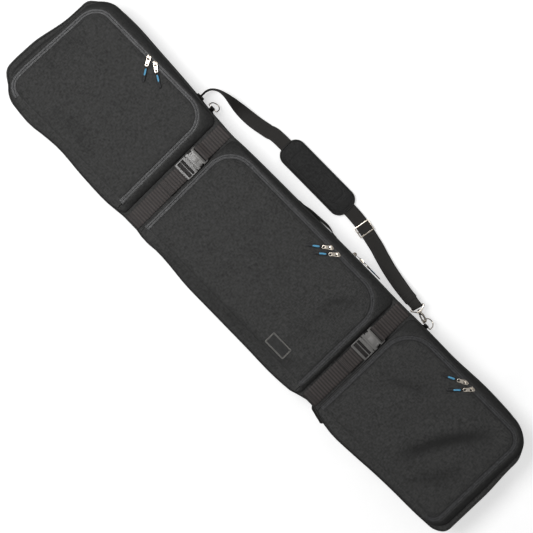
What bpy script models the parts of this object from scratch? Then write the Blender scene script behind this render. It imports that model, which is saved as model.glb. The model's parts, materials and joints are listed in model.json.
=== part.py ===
"""Long padded stand bag, lying on its back, with three front pockets and a shoulder strap.

Frame: +X is the zip side, +Y the upper end, +Z the pocket side. The back lies on z = 0 and
the origin is the centre of the back. Dimensions are in millimetres, and `finish` scales each
mesh to metres.
"""
import math

import bpy
import bmesh
from mathutils import Matrix, Vector

MM = 0.001
GAP = 0.3
TINY = 1e-6

# Bag body
HALF_WIDTH = 148.0
HALF_LENGTH = 700.0
CORNERS = (40.0, 60.0, 60.0, 45.0)          # lower left, lower right, upper right, upper left
CORNER_STEPS = 5
EDGE = 6.0                                  # slope of the front and back edges
WALL = 3.0
SHELL_TOP = 56.7
ZIP_MID = 62.0
ZIP_HALF = 4.8
TAPE_THICK = 2.4
LID_BOTTOM = 67.3
LID_TOP = 80.0
LID_HINGE = (-HALF_WIDTH - 0.4, LID_BOTTOM - 0.2)

# Pockets: zip line at the right, zip line at top and bottom, corner radii, outside ends
POCKETS = {
    "upper": dict(zip_x=132.0, zip_y=(317.0, 680.0), radii=(52.0, 44.0), ends=(295.0, 692.0)),
    "middle": dict(zip_x=124.5, zip_y=(-247.0, 235.0), radii=(62.0, 60.0), ends=(-263.0, 243.5)),
    "lower": dict(zip_x=128.0, zip_y=(-669.0, -320.0), radii=(36.0, 68.0), ends=(-690.0, -312.0)),
}
POCKET_LEFT = -144.0
POCKET_MARGIN = 10.0                        # from the zip line out to the pocket's right wall
POCKET_BASE = LID_TOP + GAP
POCKET_RIM = 93.0
RIM_WIDTH = 11.0                            # from the zip line in to the mouth
FLAP_THICK = 2.3
FLAP_BOTTOM = POCKET_RIM + GAP
FLAP_TOP = FLAP_BOTTOM + FLAP_THICK
FLAP_LEFT = -141.0
POCKET_TAPE = (5.8, 1.2)                    # width and thickness of the stringer on the pocket

# Sliders, tabs and cord pulls
SLIDER = (11.0, 7.5, 1.6)
ARCH_LENGTH = 7.0
ARCH_HEIGHT = 3.8
ARCH_WIDTH = 2.2
ARCH_WALL = 1.0
BAR_HEIGHT = SLIDER[2] + 1.55               # hinge bar of the tab above the slider's underside
BAR = 0.55
TAB_LENGTH = 21.0
TAB_HALF = 5.0
TAB_THICK = 1.2
TAB_WINDOW = (6.0, 4.0)
CORD_LENGTH = 40.0
CORD_WIDTH = 7.6
CORD_THICK = 2.6
POCKET_SLIDER_BASE = FLAP_TOP + GAP
SLIDERS = {                                 # wall, place along Y, tab heading, cord heading (degrees)
    "upper_a": ("upper", 499.0, 208.0, 211.0),
    "upper_b": ("upper", 480.0, 233.0, 240.0),
    "middle_a": ("middle", -82.0, 130.0, 127.0),
    "middle_b": ("middle", -103.0, 133.0, 130.0),
    "lower_a": ("lower", -496.0, 119.0, 114.0),
    "lower_b": ("lower", -516.0, 140.0, 136.0),
    "main_a": ("main", -128.0, 205.0, 205.0),
    "main_b": ("main", -150.0, 170.0, 170.0),
}

# Compression straps and side-release buckles
STRAPS = {"upper": 268.0, "lower": -287.5}
WEB_HALF = 19.0
WEB = 1.3
WEB_LEVEL = LID_TOP + 1.1
STRAP_FOOT = 68.5
BUCKLE_HALF = 22.5
PLUG = (3.0, 32.5, 84.6, 88.6)              # left, right, underside, top
PLUG_SLOTS = ((7.0, 13.0), (19.5, 25.5))
PRONG_END = 54.5
SLOT_HALF = 19.8
TAIL_END = {"upper": -48.0, "lower": -40.0}
SOCKET = (34.0, 67.5, 82.2, 91.2)
SOCKET_MOUTH = (56.5, 20.2, 84.2, 89.0)     # depth, half width, underside, top
SOCKET_SLOT = (59.0, 63.6)
SOCKET_NOTCH = (42.0, 53.0, 17.8)           # the side openings: left, right, inner half width

# Shoulder strap, rings and hook
AXIS_X = 152.0
AXIS_Z = 28.0
WIRE = 1.25
RING_HALF = 12.0
RING_LEG = 8.0
RING_TAB_HALF = 6.0
GRAB = 6.5                                  # where the hook holds the ring's leg
RINGS = {"upper": (331.0, -50.0), "lower": (-354.0, -35.0)}    # place along Y, droop in degrees
ANCHOR_Y = 371.0
STRAP_HALF = 16.0
STRAP_THICK = 1.8
STRAP_Z = 6.0
EYE_HALF = 15.8                             # half of the swivel eye's webbing bar
EYE_STRAP_HALF = 12.8                       # the strap bunches a little inside the eye
PAD = (211.0, 55.0, 32.0, 102.0, 12.0)      # centre x, y, half width, half length, height
GLIDE_Y = -102.0
STRAP_BEND = (-67.0, 199.0, -140.0)         # the strap leaves the pad's line, then its next x and y


def material(name, color, roughness, metallic=0.0):
    made = bpy.data.materials.new(name)
    made.use_nodes = True
    shader = made.node_tree.nodes["Principled BSDF"]
    shader.inputs["Base Color"].default_value = (*color, 1.0)
    shader.inputs["Roughness"].default_value = roughness
    shader.inputs["Metallic"].default_value = metallic
    made.diffuse_color = (*color, 1.0)
    return made


def finish(name, bm, surface, origin=(0.0, 0.0, 0.0)):
    """Turn a bmesh in millimetres into an object in metres with its origin at a point."""
    bmesh.ops.recalc_face_normals(bm, faces=bm.faces)
    bmesh.ops.translate(bm, verts=bm.verts, vec=-Vector(origin))
    bmesh.ops.scale(bm, verts=bm.verts, vec=(MM, MM, MM))
    mesh = bpy.data.meshes.new(name)
    bm.to_mesh(mesh)
    bm.free()
    made = bpy.data.objects.new(name, mesh)
    made.location = Vector(origin) * MM
    made.data.materials.append(surface)
    bpy.context.collection.objects.link(made)
    return made


def loft(name, loops, surface, origin=(0.0, 0.0, 0.0), cyclic=False):
    """Bridge loops that have the same number of points, and close both ends."""
    bm = bmesh.new()
    rows = [[bm.verts.new(point) for point in loop] for loop in loops]
    pairs = list(zip(rows, rows[1:]))
    if cyclic:
        pairs.append((rows[-1], rows[0]))
    else:
        bm.faces.new(rows[0])
        bm.faces.new(rows[-1])
    for low, high in pairs:
        count = len(low)
        for i in range(count):
            j = (i + 1) % count
            bm.faces.new((low[i], low[j], high[j], high[i]))
    return finish(name, bm, surface, origin)


def block(name, low, high, surface):
    corners = [(low[0], low[1]), (high[0], low[1]), (high[0], high[1]), (low[0], high[1])]
    loops = [[(x, y, z) for x, y in corners] for z in (low[2], high[2])]
    return loft(name, loops, surface)


def plate(name, outline, low, high, surface, origin=(0.0, 0.0, 0.0)):
    return loft(name, [[(x, y, z) for x, y in outline] for z in (low, high)], surface, origin)


def arc(center, radius, start, stop, steps):
    """Points on an arc, with both angles in degrees."""
    for i in range(steps + 1):
        angle = math.radians(start + (stop - start) * i / steps)
        yield (center[0] + radius * math.cos(angle), center[1] + radius * math.sin(angle))


def rounded(x0, x1, y0, y1, radii, steps=CORNER_STEPS):
    """A rectangle with its four corners rounded, counter-clockwise from the lower left."""
    r = radii
    points = []
    points += arc((x0 + r[0], y0 + r[0]), r[0], 180, 270, steps)
    points += arc((x1 - r[1], y0 + r[1]), r[1], 270, 360, steps)
    points += arc((x1 - r[2], y1 - r[2]), r[2], 0, 90, steps)
    points += arc((x0 + r[3], y1 - r[3]), r[3], 90, 180, steps)
    return points


def body_loop(inset, z):
    radii = [radius - inset for radius in CORNERS]
    x = HALF_WIDTH - inset
    y = HALF_LENGTH - inset
    return [(px, py, z) for px, py in rounded(-x, x, -y, y, radii)]


def u_path(left, right, low, high, radii):
    """An open path along the top, right and bottom, with both right corners rounded."""
    path = [(left, low)]
    path += arc((right - radii[0], low + radii[0]), radii[0], 270, 360, CORNER_STEPS)
    path += arc((right - radii[1], high - radii[1]), radii[1], 0, 90, CORNER_STEPS)
    path.append((left, high))
    return path


def ribbon(name, stations, surface, origin=(0.0, 0.0, 0.0)):
    """Sweep a rectangle through stations of point, half-side vector and half-height vector."""
    loops = []
    for point, side, up in stations:
        p, s, u = Vector(point), Vector(side), Vector(up)
        loops.append([p - s - u, p + s - u, p + s + u, p - s + u])
    return loft(name, loops, surface, origin)


def normals(path):
    """The left-hand unit normal and mitre length at each point of an open 2-D path."""
    found = []
    for i, point in enumerate(path):
        before = Vector(point) - Vector(path[max(i - 1, 0)])
        after = Vector(path[min(i + 1, len(path) - 1)]) - Vector(point)
        if before.length < TINY:
            before = after
        if after.length < TINY:
            after = before
        before.normalize()
        after.normalize()
        mean = (before + after).normalized()
        found.append(Vector((-mean.y, mean.x)) / max(mean.dot(before), 0.5))
    return found


def flat_band(name, path, low, high, half_width, surface):
    """A band that follows a path in the XY plane."""
    middle, half = (low + high) / 2, (high - low) / 2
    stations = []
    for (x, y), n in zip(path, normals(path)):
        stations.append(((x, y, middle), (n.x * half_width, n.y * half_width, 0), (0, 0, half)))
    return ribbon(name, stations, surface)


def side_band(name, path, y0, y1, thick, surface, origin=(0.0, 0.0, 0.0)):
    """A band that follows a path in the XZ plane and is as wide as y0 to y1."""
    middle, half = (y0 + y1) / 2, (y1 - y0) / 2
    stations = []
    for (x, z), n in zip(path, normals(path)):
        up = (n.x * thick / 2, 0, n.y * thick / 2)
        stations.append(((x, middle, z), (0, half, 0), up))
    return ribbon(name, stations, surface, origin)


def wire(name, path, across, surface, radius=WIRE, origin=(0.0, 0.0, 0.0), sides=8):
    """A closed round wire that follows a flat path whose plane has the normal `across`."""
    across = Vector(across).normalized()
    loops = []
    for i, point in enumerate(path):
        along = (Vector(path[(i + 1) % len(path)]) - Vector(path[i - 1])).normalized()
        inward = across.cross(along)
        loop = []
        for k in range(sides):
            turn = 2 * math.pi * k / sides
            loop.append(Vector(point) + radius * (math.cos(turn) * across + math.sin(turn) * inward))
        loops.append(loop)
    return loft(name, loops, surface, origin, cyclic=True)


def combine(target, tool, operation):
    """Cut or join `target` with `tool`, which stays in the file as a hidden guide."""
    tool.hide_render = True
    tool.display_type = "WIRE"
    tool.hide_viewport = True
    change = target.modifiers.new(operation.title(), "BOOLEAN")
    change.operation = operation
    change.solver = "EXACT"
    change.object = tool
    return target


def bake(made):
    """Replace an object's mesh by its evaluated mesh, so copies can share it."""
    bpy.context.view_layer.update()
    evaluated = made.evaluated_get(bpy.context.evaluated_depsgraph_get())
    mesh = bpy.data.meshes.new_from_object(evaluated)
    mesh.name = made.name
    made.modifiers.clear()
    made.data = mesh
    return mesh


def guide(made):
    made.hide_render = True
    made.display_type = "WIRE"
    made.hide_viewport = True
    return made


def copy_of(mesh, name, matrix):
    made = bpy.data.objects.new(name, mesh)
    made.matrix_world = matrix
    bpy.context.collection.objects.link(made)
    return made


def make_body(cloth, tape):
    """Back shell with its spine, front lid, and the two halves of the main zip."""
    loops = [body_loop(EDGE, 0.0), body_loop(0.0, EDGE), body_loop(0.0, SHELL_TOP)]
    loops += [body_loop(WALL, SHELL_TOP), body_loop(WALL, WALL)]
    shell = loft("back_shell", loops, cloth)
    reach = HALF_LENGTH - CORNERS[3] - 5.0
    spine = block("spine_guide", (-HALF_WIDTH, -reach, SHELL_TOP - 8.0),
                  (-HALF_WIDTH + WALL, reach, LID_BOTTOM - GAP), cloth)
    combine(shell, spine, "UNION")

    loops = [body_loop(EDGE, LID_TOP), body_loop(0.0, LID_TOP - EDGE), body_loop(0.0, LID_BOTTOM)]
    loops += [body_loop(WALL, LID_BOTTOM), body_loop(WALL, LID_TOP - WALL)]
    hinge = (LID_HINGE[0], 0.0, LID_HINGE[1])
    loft("front_lid", loops, cloth, hinge)

    inset = TAPE_THICK / 2
    radii = [CORNERS[1] - inset, CORNERS[2] - inset]
    path = u_path(-HALF_WIDTH + CORNERS[3], HALF_WIDTH - inset, -HALF_LENGTH + inset,
                  HALF_LENGTH - inset, radii)
    flat_band("main_zip_lower_tape", path, SHELL_TOP + GAP, ZIP_MID - GAP / 2, inset, tape)
    flat_band("main_zip_upper_tape", path, ZIP_MID + GAP / 2, ZIP_MID + ZIP_HALF, inset, tape)


def make_pocket(name, pocket, cloth, flap_cloth, tape):
    """Pocket body with an open mouth, the stringer on its rim, and the flap that closes it."""
    right = pocket["zip_x"] + POCKET_MARGIN
    low, high = pocket["ends"]
    radii = [r + POCKET_MARGIN for r in pocket["radii"]]
    corners = (12.0, radii[0], radii[1], 12.0)

    def ring(inset, z):
        shrunk = [r - inset for r in corners]
        outline = rounded(POCKET_LEFT + inset, right - inset, low + inset, high - inset, shrunk)
        return [(x, y, z) for x, y in outline]

    def mouth(z):
        near, far = pocket["zip_y"]
        inner = [max(r - RIM_WIDTH, 8.0) for r in pocket["radii"]]
        outline = rounded(FLAP_LEFT + 6.0, pocket["zip_x"] - RIM_WIDTH, near + RIM_WIDTH,
                          far - RIM_WIDTH, (6.0, inner[0], inner[1], 6.0))
        return [(x, y, z) for x, y in outline]

    loops = [ring(0.0, POCKET_BASE), ring(0.0, POCKET_RIM - 4.0), ring(2.0, POCKET_RIM)]
    loops += [mouth(POCKET_RIM), mouth(POCKET_BASE + 1.5)]
    loft(name + "_pocket_body", loops, cloth)

    width, thick = POCKET_TAPE
    near, far = pocket["zip_y"]
    shift = GAP + width / 2
    path = u_path(FLAP_LEFT + 2.0, pocket["zip_x"] + shift, near - shift, far + shift,
                  [r + shift for r in pocket["radii"]])
    flat_band(name + "_pocket_zip", path, POCKET_RIM + GAP, POCKET_RIM + GAP + thick,
              width / 2, tape)

    outline = rounded(FLAP_LEFT, pocket["zip_x"], near, far, (3.0, *pocket["radii"], 3.0))
    plate(name + "_pocket_flap", outline, FLAP_BOTTOM, FLAP_TOP, flap_cloth,
          (FLAP_LEFT - GAP, 0.0, FLAP_TOP))


def slider_mesh(name, metal, turn):
    """A slider plate in its own frame, X along the zip, with its arch turned towards the tab."""
    length, width, thick = SLIDER
    outline = [(-length / 2, -width * 0.3), (-length * 0.2, -width / 2), (length / 2, -width / 2)]
    outline += [(x, -y) for x, y in reversed(outline)]
    body = plate(name + "_plate_guide", outline, 0.0, thick, metal)
    half = (ARCH_LENGTH - ARCH_WALL) / 2
    top = thick + ARCH_HEIGHT - ARCH_WALL / 2
    path = [(-half, thick / 2), (-half, top - 1.0), (-half + 1.0, top), (half - 1.0, top),
            (half, top - 1.0), (half, thick / 2)]
    bow = side_band(name + "_arch_guide", path, -ARCH_WIDTH / 2, ARCH_WIDTH / 2, ARCH_WALL, metal)
    bow.rotation_euler.z = math.radians(turn)
    combine(body, bow, "UNION")
    mesh = bake(body)
    guide(body)
    return mesh


def tab_mesh(metal):
    """A forked tab: its bar lies on the Y axis at the origin and it points along +X."""
    half = TAB_THICK / 2
    end = TAB_LENGTH - TAB_HALF + 1.0
    outline = [(-BAR, TAB_HALF - 0.6), (-BAR, -TAB_HALF + 0.6), (0.4, -TAB_HALF)]
    outline += arc((end, 0.0), TAB_HALF - 1.0, -90, 90, 8)
    outline.append((0.4, TAB_HALF))
    body = plate("tab_guide", outline, -half, half, metal)
    window = block("window_guide", (BAR, -TAB_WINDOW[1], -2.0),
                   (TAB_WINDOW[0], TAB_WINDOW[1], 2.0), metal)
    hole = plate("hole_guide", list(arc((end, 0.0), 2.3, 0, 315, 7)), -2.0, 2.0, metal)
    combine(body, window, "DIFFERENCE")
    combine(body, hole, "DIFFERENCE")
    mesh = bake(body)
    guide(body)
    return mesh, end


def cord_mesh(cord):
    """A pull whose loop passes through the tab's hole at the origin and points along +X."""
    reach = TAB_HALF + 1.4
    rise = TAB_THICK / 2 + 0.75
    path = [(reach + 1.0, rise * 0.6), (reach - 0.6, rise), (-0.7, rise), (-0.7, -rise)]
    path += [(reach - 0.6, -rise), (reach + 1.0, -rise * 0.6)]
    loop = side_band("loop_guide", path, -0.8, 0.8, 0.8, cord)
    outline = rounded(reach, CORD_LENGTH, -CORD_WIDTH / 2, CORD_WIDTH / 2, (1.5, 3.0, 3.0, 1.5), 3)
    grip = plate("grip_guide", outline, -CORD_THICK / 2, CORD_THICK / 2, cord)
    combine(grip, loop, "UNION")
    mesh = bake(grip)
    guide(grip)
    return mesh


def make_pulls(metal, cord):
    """Eight sliders with a tab and a cord pull each."""
    tab, hole = tab_mesh(metal)
    pull = cord_mesh(cord)
    for name, (wall, place, heading, cord_heading) in SLIDERS.items():
        if wall == "main":
            base = Matrix(((0, 0, 1), (1, 0, 0), (0, 1, 0))).to_4x4()
            start = Vector((HALF_WIDTH + GAP, place, ZIP_MID))
            along = 0.0
        else:
            base = Matrix.Identity(4)
            start = Vector((POCKETS[wall]["zip_x"], place, POCKET_SLIDER_BASE))
            along = 90.0
        at = Matrix.Translation(start * MM) @ base
        slider = slider_mesh(name, metal, heading - along)
        copy_of(slider, name + "_slider", at @ Matrix.Rotation(math.radians(along), 4, "Z"))
        pivot = at @ Matrix.Translation((0, 0, BAR_HEIGHT * MM))
        turned = pivot @ Matrix.Rotation(math.radians(heading), 4, "Z")
        copy_of(tab, name + "_pull_tab", turned)
        at_hole = turned @ Matrix.Translation((hole * MM, 0, 0))
        bend = Matrix.Rotation(math.radians(cord_heading - heading), 4, "Z")
        copy_of(pull, name + "_cord_pull", at_hole @ bend)


def make_compression_strap(name, y, web, plastic):
    """Left webbing, plug with its tail, socket and right webbing, across one valley."""
    low, high = y - WEB_HALF, y + WEB_HALF
    side = HALF_WIDTH + 1.2
    left = [(-side, STRAP_FOOT), (-side, WEB_LEVEL), (12.0, WEB_LEVEL)]
    side_band(name + "_strap_left", left, low, high, WEB, web)

    start = (PLUG[0] + PLUG[1]) / 2
    drop = (PLUG_SLOTS[1][0] + PLUG_SLOTS[1][1]) / 2
    under, over = PLUG[2] - 1.2, PLUG[3] + 1.2
    tail = [(12.5, under), (drop, under), (drop, over), (1.0, over), (-12.0, WEB_LEVEL + 2.0)]
    tail.append((TAIL_END[name], WEB_LEVEL + 1.9))
    side_band(name + "_strap_tail", tail, low, high, WEB, web, (start, y, WEB_LEVEL))

    right = [(side, STRAP_FOOT), (side, WEB_LEVEL), (61.3, WEB_LEVEL), (61.3, over + 0.2)]
    right += [(68.5, over + 0.2), (82.0, WEB_LEVEL + 2.2), (100.0, WEB_LEVEL + 2.0)]
    side_band(name + "_strap_right", right, low, high, WEB, web)

    edge = [(PLUG[0] + 1.5, -BUCKLE_HALF), (PLUG[1], -BUCKLE_HALF), (PLUG[1], -17.0)]
    edge += [(42.0, -17.0), (44.0, -19.6), (48.5, -19.6), (PRONG_END, -15.5), (PRONG_END, -13.5)]
    edge += [(43.0, -13.5), (38.0, -12.5), (36.0, -3.2), (50.0, -3.2), (51.5, -1.8)]
    half = [(PLUG[0], -BUCKLE_HALF + 1.5)] + edge
    outline = [(px, py + y) for px, py in half]
    outline += [(px, -py + y) for px, py in reversed(half)]
    plug = plate(name + "_buckle_plug", outline, PLUG[2], PLUG[3], plastic, (start, y, PLUG[2]))
    for i, (x0, x1) in enumerate(PLUG_SLOTS):
        slot = block(f"{name}_slot_{i}_guide", (x0, y - SLOT_HALF, PLUG[2] - 1),
                     (x1, y + SLOT_HALF, PLUG[3] + 1), plastic)
        combine(plug, slot, "DIFFERENCE")

    x0, x1, z0, z1 = SOCKET
    edge = SOCKET_SLOT[1]
    outline = rounded(x0, x1, y - BUCKLE_HALF, y + BUCKLE_HALF, (1.5, 5.0, 5.0, 1.5), 2)
    ends = [[(px, py, z0) for px, py in outline], [(px, py, z1 - 1.0) for px, py in outline]]
    inner = rounded(x0 + 1.0, x1 - 1.0, y - BUCKLE_HALF + 1, y + BUCKLE_HALF - 1,
                    (1.0, 4.5, 4.5, 1.0), 2)
    ends.append([(px, py, z1) for px, py in inner])
    socket = loft(name + "_buckle_socket", ends, plastic)
    depth, half_mouth, mouth_low, mouth_high = SOCKET_MOUTH
    tools = [((x0 - 2, y - half_mouth, mouth_low), (depth, y + half_mouth, mouth_high))]
    tools.append(((SOCKET_SLOT[0], y - SLOT_HALF, z0 - 1), (edge, y + SLOT_HALF, z1 + 1)))
    tools.append(((edge - 1, y - SLOT_HALF, PLUG[3] - 0.4), (x1 + 1, y + SLOT_HALF, z1 + 1)))
    tools.append(((edge - 1, y - SLOT_HALF, z0 - 1), (x1 + 1, y + SLOT_HALF, PLUG[2])))
    left, right, inside = SOCKET_NOTCH
    tools.append(((left, y + inside, z0 - 1), (right, y + BUCKLE_HALF + 2, z1 + 1)))
    tools.append(((left, y - BUCKLE_HALF - 2, z0 - 1), (right, y - inside, z1 + 1)))
    for i, (a, b) in enumerate(tools):
        combine(socket, block(f"{name}_socket_{i}_guide", a, b, plastic), "DIFFERENCE")


def make_ring(name, y, droop, metal, web):
    """A wire D-ring whose straight side turns in a folded webbing tab on the zip-side wall."""
    tilt = math.radians(droop)
    out = Vector((math.cos(tilt), 0.0, math.sin(tilt)))
    bar = Vector((AXIS_X, y, AXIS_Z))
    path = [bar + Vector((0, -RING_HALF, 0)), bar + Vector((0, 0, 0)), bar + Vector((0, RING_HALF, 0))]
    for reach, along in arc((RING_LEG, 0.0), RING_HALF, 90, -90, 10):
        path.append(bar + out * reach + Vector((0, along, 0)))
    across = out.cross(Vector((0, 1, 0)))
    wire(name + "_d_ring", path, across, metal, origin=bar)

    start = HALF_WIDTH + 1.2
    loop = [(start, 6.0), (start, AXIS_Z - 3.5)]
    loop += arc((AXIS_X, AXIS_Z), 2.45, 180, -110, 10)
    side_band(name + "_d_ring_tab", loop, y - RING_TAB_HALF, y + RING_TAB_HALF, 1.2, web)


def strap_station(x, y, z, roll, half, heading):
    """A station of the shoulder strap: roll 0 lies flat, 90 stands on its edge."""
    turn, bank = math.radians(heading), math.radians(roll)
    along = Vector((math.cos(turn), math.sin(turn), 0.0))
    flat = Vector((-along.y, along.x, 0.0))
    side = flat * math.cos(bank) + Vector((0, 0, 1)) * math.sin(bank)
    up = along.cross(side)
    return (Vector((x, y, z)), side * half, up * STRAP_THICK / 2)


def hook_frame():
    """Origin and axes of the swivel hook: it points from the strap to the lower ring's leg."""
    ring_y, droop = RINGS["lower"]
    tilt = math.radians(droop)
    leg = Vector((math.cos(tilt), 0.0, math.sin(tilt)))
    grab = Vector((AXIS_X, ring_y + RING_HALF, AXIS_Z)) + leg * GRAB
    end = Vector((167.0, -308.0, 24.0))
    along = (grab - end).normalized()
    across = (leg - along * leg.dot(along)).normalized()
    return grab - along * 20.5, along, across


def make_shoulder_strap(web):
    """One strap: it stands on edge at its sewn end, lies flat, and loops round the swivel eye."""
    path = [
        (153.7, ANCHOR_Y, 18.0, 90, 9.5, 0), (168.0, ANCHOR_Y - 0.5, 17.5, 90, 10.0, -5),
        (180.0, 365.0, 16.5, 90, 12.0, -45), (189.0, 352.0, 16.0, 85, 13.5, -65),
        (193.0, 334.0, 15.5, 72, 14.5, -84), (194.0, 310.0, 14.0, 52, STRAP_HALF, -90),
        (194.3, 288.0, 11.0, 33, STRAP_HALF, -88), (195.8, 263.0, 8.5, 15, STRAP_HALF, -83),
        (199.0, 238.0, 6.8, 4, STRAP_HALF, -79), (205.0, 208.0, STRAP_Z, 0, STRAP_HALF, -79),
        (PAD[0], 178.0, STRAP_Z, 0, STRAP_HALF, -87),
        (PAD[0], STRAP_BEND[0], STRAP_Z, 0, STRAP_HALF, -94),
        (*STRAP_BEND[1:], STRAP_Z, 0, STRAP_HALF, -102), (189.5, -175.0, 6.3, 0, STRAP_HALF, -106),
        (180.5, -210.0, 8.5, 0, STRAP_HALF, -103), (174.0, -245.0, 13.0, 0, STRAP_HALF, -100),
        (169.8, -275.0, 19.0, 0, 15.2, -99), (167.8, -298.0, 25.0, 0, EYE_STRAP_HALF, -99),
    ]
    stations = [strap_station(*place) for place in path]
    origin, along, _ = hook_frame()
    flat = Vector((-along.y, along.x, 0.0)).normalized()
    rise = flat.cross(along) * -1.0
    if rise.z < 0:
        rise = -rise
    center = origin - along * 13.0
    for step in range(7):
        turn = math.radians(90 - 35 * step)
        spoke = along * math.cos(turn) + rise * math.sin(turn)
        stations.append((center + spoke * 2.9, flat * EYE_STRAP_HALF, spoke * STRAP_THICK / 2))
    ribbon("shoulder_strap", stations, web, (AXIS_X, ANCHOR_Y, AXIS_Z))


def make_hook(metal):
    """Swivel eye, hook body and spring gate, in the frame of hook_frame."""
    origin, along, across = hook_frame()
    lateral = across.cross(along)
    flat = Vector((-along.y, along.x, 0.0)).normalized()
    upright = along.cross(flat)

    def in_eye(u, v, w=0.0):
        return origin + along * u + flat * v + upright * w

    def in_hook(u, v, w=0.0):
        return origin + along * u + lateral * v + across * w

    def prism(name, outline, half, place, at=(0.0, 0.0, 0.0)):
        loops = [[place(u, v, w) for u, v in outline] for w in (-half, half)]
        return loft(name, loops, metal, at)

    def rod(name, radius, start, stop, place):
        circle = list(arc((0.0, 0.0), radius, 0, 324, 9))
        return loft(name, [[place(u, v, w) for v, w in circle] for u in (start, stop)], metal)

    wide = EYE_HALF + 0.9
    frame = [in_eye(-13, -EYE_HALF), in_eye(-13, 0), in_eye(-13, EYE_HALF), in_eye(-10.5, wide)]
    frame += [in_eye(-1.0, 4.5), in_eye(-1.0, 0), in_eye(-1.0, -4.5), in_eye(-10.5, -wide)]
    eye = wire("swivel_eye", frame, upright, metal, 1.5, (AXIS_X, ANCHOR_Y, AXIS_Z))
    boss = [(-3.2, -4.5), (1.0, -4.5), (1.0, 4.5), (-3.2, 4.5)]
    combine(eye, prism("boss_guide", boss, 3.6, in_eye), "UNION")
    combine(eye, rod("bore_guide", 2.2, -6.0, 4.0, in_eye), "DIFFERENCE")

    base = [(1.5, -4.0), (3.5, -5.2), (8.0, -7.2), (18.0, -7.6)]
    base += arc((19.0, 0.0), 7.6, -90, 90, 8)
    base += [(15.8, 7.6), (15.8, 4.9), (19.0, 4.6)]
    base += arc((19.0, 0.0), 4.6, 75, -90, 7)
    base += [(9.5, -4.4), (6.8, -2.0), (6.8, 5.0), (3.5, 5.2), (1.5, 4.0)]
    body = prism("hook_body", base, 1.7, in_hook, origin)
    combine(body, rod("shank_guide", 1.7, -5.2, 2.4, in_hook), "UNION")
    combine(body, rod("head_guide", 3.0, -6.6, -4.0, in_hook), "UNION")

    gate = [(7.2, 4.8), (7.2, 7.4), (15.3, 7.4), (15.3, 5.2), (8.5, 3.6)]
    prism("hook_gate", gate, 1.3, in_hook, in_hook(8.0, 6.0))


def make_pad_and_glide(pad_cloth, metal):
    """Padded sleeve on the strap, and the three-bar slide below it."""
    x, y, half_x, half_y, height = PAD
    outline = rounded(x - half_x, x + half_x, y - half_y, y + half_y, (25.0,) * 4, 4)
    inner = rounded(x - half_x + 3, x + half_x - 3, y - half_y + 3, y + half_y - 3, (22.0,) * 4, 4)
    loops = [[(px, py, GAP) for px, py in inner], [(px, py, 3.0) for px, py in outline]]
    loops += [[(px, py, height - 3.0) for px, py in outline]]
    loops += [[(px, py, height + GAP) for px, py in inner]]
    pad = loft("shoulder_pad", loops, pad_cloth, (x, y, STRAP_Z))
    tunnel = block("tunnel_guide", (x - 17.4, y - half_y - 5, STRAP_Z - 1.9),
                   (x + 17.4, y + half_y + 5, STRAP_Z + 1.9), pad_cloth)
    combine(pad, tunnel, "DIFFERENCE")

    bend_y, next_x, next_y = STRAP_BEND
    slope = (PAD[0] - next_x) / (bend_y - next_y)
    center = Vector((PAD[0] - slope * (bend_y - GLIDE_Y), GLIDE_Y, STRAP_Z))
    heading = math.atan2(slope, 1.0)
    rails = [((-19.2, -13.5, -3.2), (-16.8, 13.5, 3.4)), ((16.8, -13.5, -3.2), (19.2, 13.5, 3.4))]
    bars = [((-18.0, -13.5, 1.4), (18.0, -10.7, 3.4)), ((-18.0, 10.7, 1.4), (18.0, 13.5, 3.4))]
    bars += [((-18.0, -1.6, -3.2), (18.0, 1.6, -1.4))]
    made = block("tri_glide", *rails[0], metal)
    for i, (low, high) in enumerate(rails[1:] + bars):
        combine(made, block(f"glide_{i}_guide", low, high, metal), "UNION")
    mesh = bake(made)
    mesh.transform(Matrix.Rotation(-heading, 4, "Z"))
    made.location = center * MM


def make_small_parts(web, patch):
    """Side handle, sewn end block of the shoulder strap, and the label patch."""
    path = [(150.0, 46.0), (150.0, 36.0), (152.8, 18.0), (152.8, -45.0), (150.0, -63.0),
            (150.0, -73.0)]
    flat_band("side_handle", path, 2.0, 27.0, 1.2, web)
    block("upper_strap_anchor", (HALF_WIDTH + GAP, ANCHOR_Y - 9.0, 8.0),
          (AXIS_X + 1.2, ANCHOR_Y + 9.0, AXIS_Z - 1.0), web)
    outline = rounded(-126.0, -94.0, -183.0, -124.0, (2.0,) * 4, 2)
    plate("label_patch", outline, FLAP_TOP + GAP, FLAP_TOP + GAP + 0.9, patch,
          (FLAP_LEFT - GAP, 0.0, FLAP_TOP))


def build():
    for old in list(bpy.data.objects):
        bpy.data.objects.remove(old, do_unlink=True)

    cloth = material("body_polyester", (0.042, 0.042, 0.040), 0.88)
    flap_cloth = material("flap_polyester", (0.048, 0.048, 0.046), 0.88)
    tape = material("zip_tape", (0.018, 0.018, 0.018), 0.75)
    web = material("ribbed_webbing", (0.034, 0.026, 0.024), 0.7)
    strap_web = material("smooth_webbing", (0.018, 0.015, 0.013), 0.75)
    pad_cloth = material("pad_cloth", (0.026, 0.026, 0.025), 0.9)
    plastic = material("buckle_plastic", (0.03, 0.03, 0.03), 0.28)
    metal = material("warm_nickel", (0.72, 0.64, 0.55), 0.25, 1.0)
    cord = material("pull_cord", (0.012, 0.012, 0.013), 0.5)
    patch = material("label_weave", (0.02, 0.02, 0.02), 0.6)

    make_body(cloth, tape)
    for name, pocket in POCKETS.items():
        make_pocket(name, pocket, cloth, flap_cloth, tape)
    make_pulls(metal, cord)
    for name, y in STRAPS.items():
        make_compression_strap(name, y, web, plastic)
    for name, (y, droop) in RINGS.items():
        make_ring(name, y, droop, metal, strap_web)
    make_shoulder_strap(strap_web)
    make_hook(metal)
    make_pad_and_glide(pad_cloth, metal)
    make_small_parts(strap_web, patch)


build()
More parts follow.
